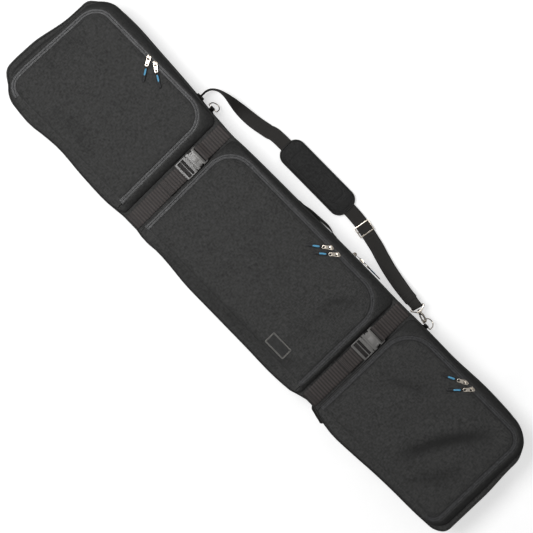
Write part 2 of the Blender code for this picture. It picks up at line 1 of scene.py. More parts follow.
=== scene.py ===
"""Looks of a long padded stand bag: cloth, webbing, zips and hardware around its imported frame.

Lengths are in millimetres until a mesh is made. +X is the zip side, +Y the upper end, +Z the
pocket side, and the back of the bag lies on z = 0.
"""
import json
import math

import bmesh
import bpy
import numpy as np
from mathutils import Matrix, Vector
from mathutils.bvhtree import BVHTree


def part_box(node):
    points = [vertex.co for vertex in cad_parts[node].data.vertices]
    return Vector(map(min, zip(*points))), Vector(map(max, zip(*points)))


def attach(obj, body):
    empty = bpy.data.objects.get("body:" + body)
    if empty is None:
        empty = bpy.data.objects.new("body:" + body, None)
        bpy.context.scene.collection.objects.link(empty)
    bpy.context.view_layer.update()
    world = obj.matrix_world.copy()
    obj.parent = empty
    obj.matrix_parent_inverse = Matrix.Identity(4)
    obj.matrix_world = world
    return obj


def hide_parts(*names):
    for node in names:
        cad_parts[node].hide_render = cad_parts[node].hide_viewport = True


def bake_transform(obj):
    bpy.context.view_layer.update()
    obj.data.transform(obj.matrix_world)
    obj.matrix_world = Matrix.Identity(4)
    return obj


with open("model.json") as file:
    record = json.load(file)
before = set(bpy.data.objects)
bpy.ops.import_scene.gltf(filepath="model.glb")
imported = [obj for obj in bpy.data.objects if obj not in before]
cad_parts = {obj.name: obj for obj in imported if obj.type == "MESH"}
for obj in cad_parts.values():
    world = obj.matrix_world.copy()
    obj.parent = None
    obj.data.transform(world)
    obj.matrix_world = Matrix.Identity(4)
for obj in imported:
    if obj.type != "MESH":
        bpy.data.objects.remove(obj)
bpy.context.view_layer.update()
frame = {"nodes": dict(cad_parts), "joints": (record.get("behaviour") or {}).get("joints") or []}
NODES = frame["nodes"]
JOINTS = {joint["name"]: joint for joint in frame["joints"]}
MM = 0.001


def node_box(node):
    """Lowest and highest corner of a CAD node, in millimetres."""
    low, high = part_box(node)
    return np.array(low) / MM, np.array(high) / MM


def joint_place(name):
    return np.array(JOINTS[name]["pos_m"]) / MM


# Dimensions taken from the frame
HALF_LENGTH = node_box("back_shell")[1][1]
LID_TOP = node_box("front_lid")[1][2]
LOWER_TAPE = [corner[2] for corner in node_box("main_zip_lower_tape")]
UPPER_TAPE = [corner[2] for corner in node_box("main_zip_upper_tape")]
ZIP_MID = (LOWER_TAPE[1] + UPPER_TAPE[0]) / 2

# The bag's corners, from the lower left and counter-clockwise, and its edges as (y, x) places
BAG_RADII = (28.0, 70.0, 60.0, 53.0)
RIGHT_EDGE = ((-700, 146), (-661, 146.5), (-624, 149), (-551, 151), (-441, 146), (-404, 146.5),
              (-331, 146.5), (-287, 145.2), (-184, 146.4), (-60, 146), (50, 144.5), (150, 143.5),
              (220, 142), (262, 140), (293, 142), (330, 144), (371, 148), (439, 153), (513, 157),
              (586, 161), (640, 160), (700, 157))
LEFT_EDGE = ((-700, -149), (-624, -154), (-560, -155), (-500, -157.5), (-441, -162), (-367, -164),
             (-331, -158), (-298, -149.5), (-278, -151), (-250, -161), (-205, -166), (-100, -166),
             (20, -166), (90, -165.5), (146, -160.5), (183, -159), (219, -162), (262, -157),
             (293, -158), (340, -163), (420, -161.5), (513, -156.5), (549, -160), (586, -165),
             (630, -162.5), (700, -151))

# Stitching and zips
STITCH = (3.4, 2.3, 0.28)                   # pitch, length and radius of a thread
COIL = (2.0, 1.0, 0.75, 0.3)                # pitch, reach across, height, wire radius
ZIP_REACH = 146.6                           # the main zip's place along its straight side
COIL_STEPS = 6                              # points in one turn of the coil
TAPE_THICK = 0.9


# ---------------------------------------------------------------- small maths
def smoothstep(start, stop, value):
    share = np.clip((value - start) / (stop - start), 0.0, 1.0)
    return share * share * (3.0 - 2.0 * share)


def unit(vectors):
    vectors = np.asarray(vectors, float)
    return vectors / np.linalg.norm(vectors, axis=-1, keepdims=True)


def smooth_line(places, at):
    """A smooth curve through (place, value) pairs."""
    place, value = np.array(places, float).T
    slope = np.gradient(value, place)
    at = np.clip(np.asarray(at, float), place[0], place[-1])
    i = np.clip(np.searchsorted(place, at) - 1, 0, len(place) - 2)
    gap = place[i + 1] - place[i]
    t = (at - place[i]) / gap
    first = (1 + 2 * t) * (1 - t) ** 2 * value[i] + t * (1 - t) ** 2 * gap * slope[i]
    last = t * t * (3 - 2 * t) * value[i + 1] + t * t * (t - 1) * gap * slope[i + 1]
    return first + last


def right_edge(y):
    return smooth_line(RIGHT_EDGE, y)


def left_edge(y):
    return smooth_line(LEFT_EDGE, y)


def ripple(x, y, seed, size, stretch=1.0, count=14):
    """Soft unevenness of height about 1: waves in many directions, `size` long."""
    draw = np.random.default_rng(seed)
    total = 0.0
    for _ in range(count):
        angle = draw.uniform(0, math.pi)
        length = size * draw.uniform(0.7, 1.7)
        along = (x * math.cos(angle) + y / stretch * math.sin(angle)) / length
        total = total + np.sin(2 * math.pi * along + draw.uniform(0, 2 * math.pi))
    return total / math.sqrt(count)


def crease(x, y, points, width, height):
    """A soft ridge (or a valley, with a negative height) that fades out at both ends."""
    path = spaced(curve([(*p, 0.0) for p in points], 6.0), 6.0)[:, :2]
    apart = np.hypot(x[..., None] - path[:, 0], y[..., None] - path[:, 1])
    share = apart.argmin(-1) / (len(path) - 1)
    fade = np.sin(math.pi * np.clip(share, 0.0, 1.0)) ** 0.7
    return height * fade * np.exp(-((apart.min(-1) / width) ** 2))


def spaced(points, step):
    """The same line with its points about `step` apart."""
    points = np.asarray(points, float)
    run = np.concatenate(([0.0], np.cumsum(np.linalg.norm(np.diff(points, axis=0), axis=1))))
    count = max(int(round(run[-1] / step)), 2)
    at = np.linspace(0.0, run[-1], count + 1)
    return np.stack([np.interp(at, run, points[:, k]) for k in range(3)], axis=1)


def curve(points, step, closed=False):
    """Evenly spaced points on a smooth curve through the given ones."""
    p = np.asarray(points, float)
    if closed:
        p = np.vstack([p[-1:], p, p[:2]])
    else:
        p = np.vstack([2 * p[0] - p[1], p, 2 * p[-1] - p[-2]])
    t = np.linspace(0.0, 1.0, 14, endpoint=False)[:, None]
    dense = []
    for a, b, c, d in zip(p, p[1:], p[2:], p[3:]):
        square = 2 * a - 5 * b + 4 * c - d
        cube = -a + 3 * b - 3 * c + d
        dense.append(0.5 * (2 * b + (c - a) * t + square * t ** 2 + cube * t ** 3))
    dense.append(p[-2:-1])
    found = spaced(np.vstack(dense), step)
    return found[:-1] if closed else found


# ---------------------------------------------------------------- meshes
def lean(points):
    """The bag's ends are not quite square, and bulge beyond the pockets' zips."""
    points = np.array(points, float)
    x = points[:, 0]
    drop = 0.06 * np.clip(x + 80.0, 0.0, None)
    points[:, 1] -= drop * smoothstep(560.0, 690.0, points[:, 1])
    rise = 16.0 - 13.0 * smoothstep(-40.0, 70.0, x) + 8.0 * smoothstep(95.0, 140.0, x)
    fall = 5.0 - 5.0 * smoothstep(-20.0, 70.0, x) - 5.0 * smoothstep(85.0, 135.0, x)
    points[:, 1] += rise * smoothstep(683.0, 700.0, points[:, 1] + drop)
    points[:, 1] -= fall * smoothstep(-680.0, -700.0, points[:, 1])
    return points


def make(name, points, faces, material, body=None, stands_for=(), slot=None, sharp=60.0,
         shade=None):
    """One piece that rides on a CAD body and stands for CAD nodes.

    `shade` is how dark each point is painted: dark seam lines, painted shade in grooves, folds and
    hollows, and painted shadows.
    """
    mesh = bpy.data.meshes.new(name)
    mesh.from_pydata((lean(points) * MM).tolist(), [], faces)
    if shade is not None:
        mesh.attributes.new("shade", "FLOAT", "POINT").data.foreach_set("value", shade)
    mesh.materials.append(material)
    mesh.shade_smooth()
    mesh.set_sharp_from_angle(angle=math.radians(sharp))
    made = bpy.data.objects.new(name, mesh)
    bpy.context.scene.collection.objects.link(made)
    if body:
        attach(made, body)
    if stands_for:
        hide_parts(*stands_for)
    return made


class Batch:
    """The closed bodies that make up one piece."""

    def __init__(self):
        self.points = []
        self.faces = []
        self.shades = []
        self.count = 0

    def add(self, points, faces, shade=None):
        points = np.asarray(points, float).reshape(-1, 3)
        self.faces += [tuple(i + self.count for i in face) for face in faces]
        self.points.append(points)
        self.shades.append(np.zeros(len(points)) if shade is None else shade)
        self.count += len(points)
        return self

    def make(self, name, material, body=None, stands_for=(), slot=None, sharp=60.0):
        return make(name, np.vstack(self.points), self.faces, material, body, stands_for, slot,
                    sharp, np.concatenate(self.shades))


def matched(up, count):
    """One up vector for each of `count` points, from one vector or from any number of them."""
    up = np.atleast_2d(np.asarray(up, float))
    at = np.linspace(0.0, 1.0, count)
    given = np.linspace(0.0, 1.0, len(up))
    return np.stack([np.interp(at, given, up[:, k]) for k in range(3)], axis=1)


def frames(path, up, closed=False):
    """Side and up vectors at each point of a path, square to the path."""
    path = np.asarray(path, float)
    if closed:
        tangent = unit(np.roll(path, -1, axis=0) - np.roll(path, 1, axis=0))
    else:
        tangent = unit(np.gradient(path, axis=0))
    side = unit(np.cross(tangent, matched(up, len(path))))
    return side, np.cross(side, tangent)


def ring_faces(rows, sides, closed):
    i = np.arange(rows if closed else rows - 1)[:, None]
    k = np.arange(sides)[None, :]
    far = (i + 1) % rows
    beside = (k + 1) % sides
    quads = [i * sides + k, far * sides + k, far * sides + beside, i * sides + beside]
    return np.stack(np.broadcast_arrays(*quads), axis=-1).reshape(-1, 4).tolist()


def sweep(path, side, up, profile, closed=False):
    """Carry a profile of (across, above) points along a path, with its ends closed."""
    profile = np.asarray(profile, float)
    if profile.ndim == 2:
        profile = np.broadcast_to(profile, (len(path), *profile.shape))
    points = np.asarray(path)[:, None, :] + profile[..., :1] * side[:, None, :]
    points = points + profile[..., 1:] * up[:, None, :]
    rows, sides = points.shape[:2]
    faces = ring_faces(rows, sides, closed)
    if not closed:
        faces.append(tuple(range(sides)))
        faces.append(tuple(range(rows * sides - 1, (rows - 1) * sides - 1, -1)))
    return points.reshape(-1, 3), faces


def circle(radius, sides=10):
    turn = np.arange(sides) * 2 * math.pi / sides
    return np.stack([radius * np.cos(turn), radius * np.sin(turn)], axis=1)


def band(half_width, half_thick, across=6):
    """Profile of a flat band with rounded edges."""
    inner = half_width - half_thick
    flat = np.linspace(-inner, inner, across)
    turn = np.radians([-60, -20, 20, 60])
    right = np.stack([inner + half_thick * np.cos(turn), half_thick * np.sin(turn)], axis=1)
    below = np.stack([flat, np.full(across, -half_thick)], axis=1)
    return np.vstack([below, right, -below, -right])


def tube(path, radius, sides=10, up=(0, 0, 1), closed=False):
    side, above = frames(path, up, closed)
    return sweep(path, side, above, circle(radius, sides), closed)


def stitches(batch, path, up, size=STITCH):
    """Short threads along a path, each dipping into the cloth at both ends."""
    pitch, length, radius = size
    path = spaced(path, pitch)
    side, above = frames(path, up)
    along = np.cross(above, side)
    sides = 5
    turn = np.arange(sides) * 2 * math.pi / sides
    ends = ((-0.5, -0.6, 0.45), (-0.28, 0.35, 1.0), (0.28, 0.35, 1.0), (0.5, -0.6, 0.45))
    rings = []
    for place, rise, scale in ends:
        middle = path + along * place * length + above * rise * radius
        ring = side[:, None, :] * np.cos(turn)[:, None] + above[:, None, :] * np.sin(turn)[:, None]
        rings.append(middle[:, None, :] + ring * radius * scale)
    points = np.stack(rings, axis=1)
    faces = ring_faces(len(ends), sides, False)
    last = len(ends) * sides - 1
    faces += [tuple(range(sides)), tuple(range(last, last - sides, -1))]
    for thread in points:
        batch.add(thread, faces)
    return batch


def coil(batch, path, up, phase=0.0):
    """The continuous coil along one edge of a zip."""
    pitch, reach, height, wire = COIL
    path = spaced(path, pitch / COIL_STEPS)
    side, above = frames(path, up)
    turn = (np.arange(len(path)) / COIL_STEPS + phase) * 2 * math.pi
    line = path + side * reach * np.cos(turn)[:, None] + above * height * np.sin(turn)[:, None]
    tangent = unit(np.gradient(line, axis=0))
    along = np.cross(above, side)
    across = unit(np.cross(tangent, along))
    batch.add(*sweep(line, across, np.cross(across, tangent), circle(wire, 4)))
    return batch


WIDE_CORNER = 12.0


class Outline:
    """A tall shape with smooth sides and rounded corners, sampled by rows and columns."""

    def __init__(self, low, high, left, right, radii):
        self.low = low
        self.high = high
        self.left = left
        self.right = right
        self.radii = radii

    def inset(self, step):
        return Outline(self.low + step, self.high - step, lambda y: self.left(y) + step,
                       lambda y: self.right(y) - step, [max(r - step, 1.0) for r in self.radii])

    def rows(self, count, corner=9):
        """Row heights: close together in the corners, even between them."""
        turn = np.linspace(0.0, math.pi / 2, corner + 1)
        lower = max(self.radii[0], self.radii[1])
        upper = max(self.radii[2], self.radii[3])
        middle = np.linspace(self.low + lower, self.high - upper, count)
        return np.concatenate([self.low + lower * (1 - np.cos(turn[:-1])), middle,
                               self.high - upper * (1 - np.cos(turn[-2::-1]))])

    def cut(self, y, low_radius, high_radius):
        """How far the corners move a side inwards at each height."""
        def corner(radius, depth):
            depth = np.clip(depth, 0.0, radius)
            return radius - np.sqrt(np.clip(radius ** 2 - (radius - depth) ** 2, 0.0, None))
        return corner(low_radius, y - self.low) + corner(high_radius, self.high - y)

    def grid(self, count, columns, corner=9):
        """X and Y of a grid over the whole shape."""
        y = self.rows(count, corner)
        bl, br, tr, tl = self.radii
        x0 = self.left(y) + self.cut(y, bl, tl)
        x1 = self.right(y) - self.cut(y, br, tr)
        x = x0[:, None] + (x1 - x0)[:, None] * columns[None, :]
        return x, np.repeat(y[:, None], len(columns), axis=1)

    def depth(self, x, y):
        """Distance inwards from the edge."""
        sides = [(x - self.left(y), (self.radii[0], self.radii[3])),
                 (self.right(y) - x, (self.radii[1], self.radii[2]))]
        found = np.minimum(y - self.low, self.high - y)
        for across, _ in sides:
            found = np.minimum(found, across)
        for across, (low_radius, high_radius) in sides:
            for up, radius in ((y - self.low, low_radius), (self.high - y, high_radius)):
                inside = (across < radius) & (up < radius)
                round_depth = radius - np.hypot(radius - across, radius - up)
                found = np.where(inside, np.minimum(found, round_depth), found)
        return found

    def u_line(self, step=4.0, left=None, full=False):
        """The edge as a line: bottom, right side and top, with the left corners if they are wide.

        `left` is the x of both ends where the left corners are small.
        """
        x, y = self.grid(40, np.linspace(0.0, 1.0, 30), 12)
        line = border(np.stack([x, y, np.zeros_like(x)], axis=-1))
        rows, columns = x.shape
        last = 2 * columns + rows - 3
        line = line[:last + 1]
        side = np.stack([x[:, 0], y[:, 0], np.zeros(rows)], axis=-1)
        if full or self.radii[0] > WIDE_CORNER:
            line = np.vstack([side[y[:, 0] < self.low + self.radii[0]][:0:-1], line])
        elif left is not None:
            line[0, 0] = left
        if full or self.radii[3] > WIDE_CORNER:
            line = np.vstack([line, side[y[:, 0] > self.high - self.radii[3]][-2::-1]])
        elif left is not None:
            line[-1, 0] = left
        return spaced(line, step)


def upright(x):
    """A straight side of an outline."""
    return lambda y: np.full_like(y, x)


def rectangle(center, half_x, half_y, radius):
    """A rounded rectangle as an outline."""
    return Outline(center[1] - half_y, center[1] + half_y, upright(center[0] - half_x),
                   upright(center[0] + half_x), (radius,) * 4)


def columns(count, edge=(0.006, 0.018)):
    """Shares across a grid, with close columns at both edges."""
    middle = np.linspace(0.035, 0.965, count)
    return np.concatenate([[0.0], edge, middle, [1 - e for e in reversed(edge)], [1.0]])


def border(grid):
    """The edge of a grid as a counter-clockwise loop."""
    return np.vstack([grid[0, :-1], grid[:-1, -1], grid[-1, :0:-1], grid[:0:-1, 0]])


def border_index(rows, count):
    index = np.arange(rows * count).reshape(rows, count)
    return np.concatenate([index[0, :-1], index[:-1, -1], index[-1, :0:-1], index[:0:-1, 0]])


def grid_faces(rows, count):
    index = np.arange(rows * count).reshape(rows, count)
    quads = [index[:-1, :-1], index[:-1, 1:], index[1:, 1:], index[1:, :-1]]
    return np.stack(quads, axis=-1).reshape(-1, 4)


def between(upper, lower):
    quads = [upper, lower, np.roll(lower, -1), np.roll(upper, -1)]
    return np.stack(quads, axis=-1)


def skin(top, loops, bottom):
    """A closed body: a grid above, loops down its sides, and a grid below."""
    rows, count = top.shape[:2]
    size = rows * count
    edge = border_index(rows, count)
    around = len(edge)
    quads = [grid_faces(rows, count)]
    upper = edge
    start = size
    for _ in loops:
        lower = np.arange(start, start + around)
        quads.append(between(upper, lower))
        upper = lower
        start += around
    quads.append(between(upper, edge + start))
    quads.append(grid_faces(rows, count)[:, ::-1] + start)
    points = np.vstack([top.reshape(-1, 3), *loops, bottom.reshape(-1, 3)])
    return points, np.vstack(quads).tolist()


def skin_shade(top, loops):
    """Painted shade for a skin's points: values for the grid above and one for each loop."""
    around = 2 * (top.shape[0] + top.shape[1]) - 4
    return np.concatenate([top.ravel(), np.repeat(loops, around), np.zeros(top.size)])


def level(outline, count, across, z, corner=9):
    """A flat grid at a height, or at the height a function gives."""
    x, y = outline.grid(count, across, corner)
    height = z(x, y) if callable(z) else np.full_like(x, z)
    return np.stack([x, y, height], axis=-1)


def closed_line(ring, step):
    """A closed loop with its points about `step` apart."""
    return spaced(np.vstack([ring, ring[:1]]), step)[:-1]


def recalculate(made):
    """Turn all faces outwards."""
    bm = bmesh.new()
    bm.from_mesh(made.data)
    bmesh.ops.recalc_face_normals(bm, faces=bm.faces)
    bm.to_mesh(made.data)
    bm.free()
    made.data.shade_smooth()


def evaluated_copy(made):
    """A new mesh of an object as its modifiers, or its curve, make it."""
    bpy.context.view_layer.update()
    depsgraph = bpy.context.evaluated_depsgraph_get()
    return bpy.data.meshes.new_from_object(made.evaluated_get(depsgraph))


# ---------------------------------------------------------------- materials
def scaled(color, share):
    return tuple(c * share for c in color)


class Shader:
    """Builds one material's nodes."""

    def __init__(self, name, roughness, metallic=0.0, sheen=0.0):
        self.material = bpy.data.materials.new(name)
        self.material.use_nodes = True
        self.tree = self.material.node_tree
        self.surface = self.tree.nodes["Principled BSDF"]
        self.surface.inputs["Roughness"].default_value = roughness
        self.surface.inputs["Metallic"].default_value = metallic
        self.surface.inputs["Sheen Weight"].default_value = sheen
        self.surface.inputs["Sheen Roughness"].default_value = 0.45
        where = self.add("ShaderNodeTexCoord").outputs["Object"]
        scale = self.add("ShaderNodeVectorMath", {0: where, 1: (1 / MM,) * 3}, operation="MULTIPLY")
        self.place = scale.outputs[0]

    def add(self, kind, inputs=None, **settings):
        made = self.tree.nodes.new(kind)
        for key, value in settings.items():
            setattr(made, key, value)
        for key, value in (inputs or {}).items():
            if isinstance(value, bpy.types.NodeSocket):
                self.tree.links.new(value, made.inputs[key])
            else:
                made.inputs[key].default_value = value
        return made

    def link(self, value, name):
        self.tree.links.new(value, self.surface.inputs[name])

    def finish(self, tone, rough, normal):
        """Join colour, roughness and relief to the surface and hand the material over."""
        self.link(tone, "Base Color")
        self.link(rough, "Roughness")
        self.link(normal, "Normal")
        return self.material

    def math(self, operation, a, b=0.0):
        return self.add("ShaderNodeMath", {0: a, 1: b}, operation=operation).outputs[0]

    def noise(self, size, detail=3.0, stretch=(1.0, 1.0, 1.0)):
        """Noise whose lumps are about `size` millimetres, longer where `stretch` is larger."""
        scale = tuple(1.0 / (size * s) for s in stretch)
        place = self.add("ShaderNodeVectorMath", {0: self.place, 1: scale}, operation="MULTIPLY")
        made = self.add("ShaderNodeTexNoise", {"Vector": place.outputs[0], "Scale": 1.0,
                                               "Detail": detail, "Roughness": 0.55})
        return made.outputs["Fac"]

    def ramp(self, value, low, high, out_low=0.0, out_high=1.0):
        made = self.add("ShaderNodeMapRange", {"Value": value, "From Min": low, "From Max": high,
                                               "To Min": out_low, "To Max": out_high})
        return made.outputs["Result"]

    def mix(self, share, *colors):
        """A blend of two colours, each a socket or three numbers."""
        a, b = (c if isinstance(c, bpy.types.NodeSocket) else (*c, 1.0) for c in colors)
        made = self.add("ShaderNodeMix", {0: share, 6: a, 7: b}, data_type="RGBA")
        return made.outputs[2]

    def weave(self, pitch, pattern):
        """Thread height on each face, from patterns in the three planes."""
        parts = self.add("ShaderNodeSeparateXYZ", {0: self.place}).outputs
        normal = self.add("ShaderNodeNewGeometry").outputs["Normal"]
        facing = self.add("ShaderNodeSeparateXYZ", {0: normal}).outputs
        wobble = self.math("MULTIPLY", self.noise(14.0, 2.0), 1.1)
        heights, weights = [], []
        for first, second, third in ((0, 1, 2), (1, 2, 0), (0, 2, 1)):
            u, v = (self.math("MULTIPLY", self.math("ADD", parts[k], wobble), math.pi / pitch)
                    for k in (first, second))
            weights.append(self.math("POWER", self.math("ABSOLUTE", facing[third]), 4.0))
            heights.append(self.math("MULTIPLY", pattern(self, u, v), weights[-1]))
        total, weight = (self.math("ADD", self.math("ADD", a, b), c)
                         for a, b, c in (heights, weights))
        return self.math("DIVIDE", total, weight)

    def bump(self, height, distance, strength=1.0, below=None):
        inputs = {"Height": height, "Distance": distance * MM, "Strength": strength}
        if below is not None:
            inputs["Normal"] = below
        return self.add("ShaderNodeBump", inputs).outputs["Normal"]

    def shade(self, tone, color, strength=0.75):
        """Darken a tone by the darkness painted on the piece's points: dark seam lines, painted shade
        in grooves and hollows, and painted shadows.
        """
        amount = self.add("ShaderNodeAttribute", attribute_name="shade").outputs["Fac"]
        return self.mix(self.math("MULTIPLY", amount, strength), tone, scaled(color, 0.12))

    def pointed(self):
        """Above a half on convex edges and below it in hollows."""
        return self.add("ShaderNodeNewGeometry").outputs["Pointiness"]

    def worn(self, low=0.50, high=0.60):
        """1 on convex edges, where a surface wears."""
        return self.ramp(self.pointed(), low, high)


def plain_weave(shader, u, v):
    """Threads that cross over and under, as a bump for each crossing."""
    a = shader.math("ABSOLUTE", shader.math("SINE", u))
    b = shader.math("ABSOLUTE", shader.math("SINE", v))
    return shader.math("POWER", shader.math("MULTIPLY", a, b), 0.6)


def twill_weave(shader, u, v):
    """Slanting threads, as on zip tape and dense webbing."""
    slant = shader.math("SINE", shader.math("ADD", u, shader.math("MULTIPLY", v, 0.5)))
    return shader.math("MULTIPLY", shader.math("ADD", slant, 1.0), 0.5)


def cloth_material(name, color, pitch, roughness=0.78, depth=0.28, pattern=plain_weave):
    """Woven cloth: thread relief, broad patches partly of uneven dye and partly of painted shade,
    slubs, speckled yarns and wear on edges.
    """
    s = Shader(name, roughness)
    dark = scaled(color, 0.70)
    pale = scaled(color, 1.40)
    # broad random patches, partly uneven dye and partly painted soft shade
    dye_and_shade_patches = s.ramp(s.noise(85.0, 4.0), 0.32, 0.70)
    tone = s.mix(dye_and_shade_patches, dark, color)
    slubs = s.noise(3.2, 2.0, (1.0, 5.0, 1.0))
    crossing = s.noise(3.2, 2.0, (5.0, 1.0, 1.0))
    grain = s.ramp(s.math("MAXIMUM", slubs, crossing), 0.48, 0.74)
    tone = s.mix(s.math("MULTIPLY", grain, 0.45), tone, pale)
    threads = s.weave(pitch, pattern)
    tone = s.mix(s.ramp(threads, 0.1, 0.9, 0.0, 0.5), tone, pale)
    yarns = s.math("ADD", s.noise(2.2, 2.0, (1.0, 3.5, 1.0)), s.noise(2.2, 2.0, (3.5, 1.0, 1.0)))
    speckle = s.ramp(yarns, 0.78, 1.22)
    tone = s.mix(speckle, s.mix(0.48, tone, (0.0, 0.0, 0.0)), s.mix(0.9, tone, pale))
    tone = s.mix(s.math("MULTIPLY", s.worn(0.51, 0.60), 0.20), tone, scaled(color, 2.2))
    rough = s.ramp(s.noise(30.0), 0.3, 0.7, roughness - 0.06, roughness + 0.06)
    soft = s.bump(s.noise(7.0, 4.0), 0.9, 0.6)
    return s.finish(s.shade(tone, color), rough, s.bump(threads, depth, 0.9, soft))


def webbing_material(name, color, pitch, roughness):
    """Dense webbing: fine slanting threads, brown-black with paler rubbed ribs."""
    s = Shader(name, roughness, sheen=0.1)
    threads = s.weave(pitch, twill_weave)
    fibres = s.noise(1.4, 3.0)
    tone = s.mix(s.ramp(fibres, 0.3, 0.7), scaled(color, 0.6), scaled(color, 1.4))
    tone = s.mix(s.ramp(s.noise(40.0), 0.35, 0.7, 0.0, 0.4), tone, scaled(color, 0.7))
    tone = s.mix(s.math("MULTIPLY", s.worn(), 0.5), tone, scaled(color, 2.0))
    rough = s.ramp(fibres, 0.3, 0.7, roughness - 0.1, roughness + 0.1)
    relief = s.bump(threads, 0.25, 0.8, s.bump(fibres, 0.15, 0.6))
    return s.finish(s.shade(tone, color, 0.85), rough, relief)


def plastic_material(name, color, roughness):
    """Moulded acetal: faint flow lines, fine scratches and dulled, paler edges."""
    s = Shader(name, roughness)
    flow = s.noise(22.0, 3.0, (1.0, 3.0, 1.0))
    scratch = s.ramp(s.noise(0.9, 2.0, (14.0, 1.0, 6.0)), 0.62, 0.72)
    edge = s.math("MULTIPLY", s.worn(0.52, 0.62), 0.6)
    tone = s.mix(s.ramp(flow, 0.3, 0.7), scaled(color, 0.8), scaled(color, 1.2))
    rough = s.math("ADD", s.ramp(flow, 0.3, 0.7, roughness - 0.04, roughness + 0.06),
                   s.math("MULTIPLY", s.math("MAXIMUM", scratch, edge), 0.2))
    s.surface.inputs["Coat Weight"].default_value = 0.25
    s.surface.inputs["Coat Roughness"].default_value = 0.12
    relief = s.bump(flow, 0.12, 0.5, s.bump(scratch, -0.03, 0.5))
    return s.finish(s.mix(edge, tone, scaled(color, 2.4)), rough, relief)


def metal_material(name, color, roughness=0.2):
    """Plated die casting: soft unevenness, hairline scratches, tarnish in the hollows."""
    s = Shader(name, roughness, metallic=1.0)
    cloudy = s.noise(7.0, 4.0)
    hair = s.ramp(s.noise(0.7, 2.0, (9.0, 1.0, 4.0)), 0.60, 0.72)
    hollow = s.ramp(s.pointed(), 0.42, 0.49, 1.0, 0.0)
    tone = s.mix(s.ramp(cloudy, 0.3, 0.7), scaled(color, 0.86), color)
    tone = s.mix(s.math("MULTIPLY", hollow, 0.6), tone, scaled(color, 0.35))
    rough = s.math("ADD", s.ramp(cloudy, 0.3, 0.7, roughness - 0.05, roughness + 0.08),
                   s.math("MULTIPLY", hair, 0.15))
    return s.finish(tone, rough, s.bump(cloudy, 0.10, 0.4, s.bump(hair, -0.03, 0.4)))


def cord_material(name, color, pitch, roughness):
    """Moulded rubber over braid: a fine diamond relief with a soft shine."""
    s = Shader(name, roughness)
    lines = s.weave(pitch, plain_weave)
    tone = s.mix(s.ramp(lines, 0.1, 0.9), scaled(color, 0.7), scaled(color, 1.3))
    rough = s.ramp(s.noise(4.0), 0.3, 0.7, roughness - 0.1, roughness + 0.1)
    return s.finish(tone, rough, s.bump(lines, 0.18, 0.8))


def floor_material():
    """Pale paper that glows a little for the camera and throws little light back at the bag."""
    s = Shader("pale_floor", 0.8)
    speck = s.ramp(s.noise(60.0, 3.0), 0.3, 0.7)
    pale = s.mix(speck, (0.80, 0.80, 0.80), (0.84, 0.84, 0.84))
    seen = s.add("ShaderNodeLightPath").outputs["Is Camera Ray"]
    s.link(s.mix(seen, (0.34, 0.34, 0.34), pale), "Base Color")
    s.surface.inputs["Emission Color"].default_value = (1.0, 1.0, 1.0, 1.0)
    s.link(s.math("MULTIPLY", seen, 0.52), "Emission Strength")
    return s.material


CLOTH = cloth_material("body_oxford", (0.042, 0.042, 0.041), 1.15)
FLAP_CLOTH = cloth_material("flap_oxford", (0.0445, 0.0445, 0.0435), 1.15)
PAD_CLOTH = cloth_material("pad_oxford", (0.021, 0.021, 0.021), 0.9)
BINDING = cloth_material("binding_tape", (0.022, 0.022, 0.021), 0.6, 0.6, 0.15, twill_weave)
TAPE = cloth_material("coil_zip_tape", (0.050, 0.050, 0.052), 0.7, 0.36, 0.12, twill_weave)
RIBBED = webbing_material("ribbed_web", (0.056, 0.045, 0.042), 0.8, 0.55)
SMOOTH = webbing_material("shoulder_web", (0.014, 0.012, 0.010), 0.9, 0.66)
THREAD = cord_material("bonded_thread", (0.050, 0.050, 0.049), 0.3, 0.5)
COIL_NYLON = cord_material("coil_nylon", (0.018, 0.018, 0.019), 0.4, 0.3)
# acetal colour: partly the plastic's own grey, partly raised as painted reflection to brighten the
# buckle that the light misses
PLASTIC = plastic_material("acetal", (0.135, 0.131, 0.126), 0.30)
METAL = metal_material("warm_nickel_plate", (0.86, 0.78, 0.68))
RUBBER = cord_material("pull_rubber", (0.014, 0.014, 0.015), 0.7, 0.45)
INLAY = cord_material("pull_inlay", (0.10, 0.38, 0.62), 0.6, 0.4)
PATCH = cloth_material("patch_weave", (0.016, 0.016, 0.016), 0.5, 0.55, 0.12, twill_weave)
PATCH_BORDER = cord_material("patch_border_thread", (0.42, 0.41, 0.38), 0.45, 0.6)

# ---------------------------------------------------------------- bag body
BAG = Outline(-HALF_LENGTH, HALF_LENGTH, left_edge, right_edge, BAG_RADII)
BAG_ROWS = 150
BAG_ACROSS = columns(34)


def pinched(share):
    """The bag's outline near its zip's height, drawn in so that the sliders run clear of it."""
    def right(y):
        spare = np.clip(right_edge(y) - ZIP_REACH, 0.0, None) * smoothstep(664.0, 618.0, np.abs(y))
        return right_edge(y) - share * spare
    return Outline(-HALF_LENGTH, HALF_LENGTH, left_edge, right, BAG_RADII)


def panel(outline, z):
    return level(outline, BAG_ROWS, BAG_ACROSS, z)


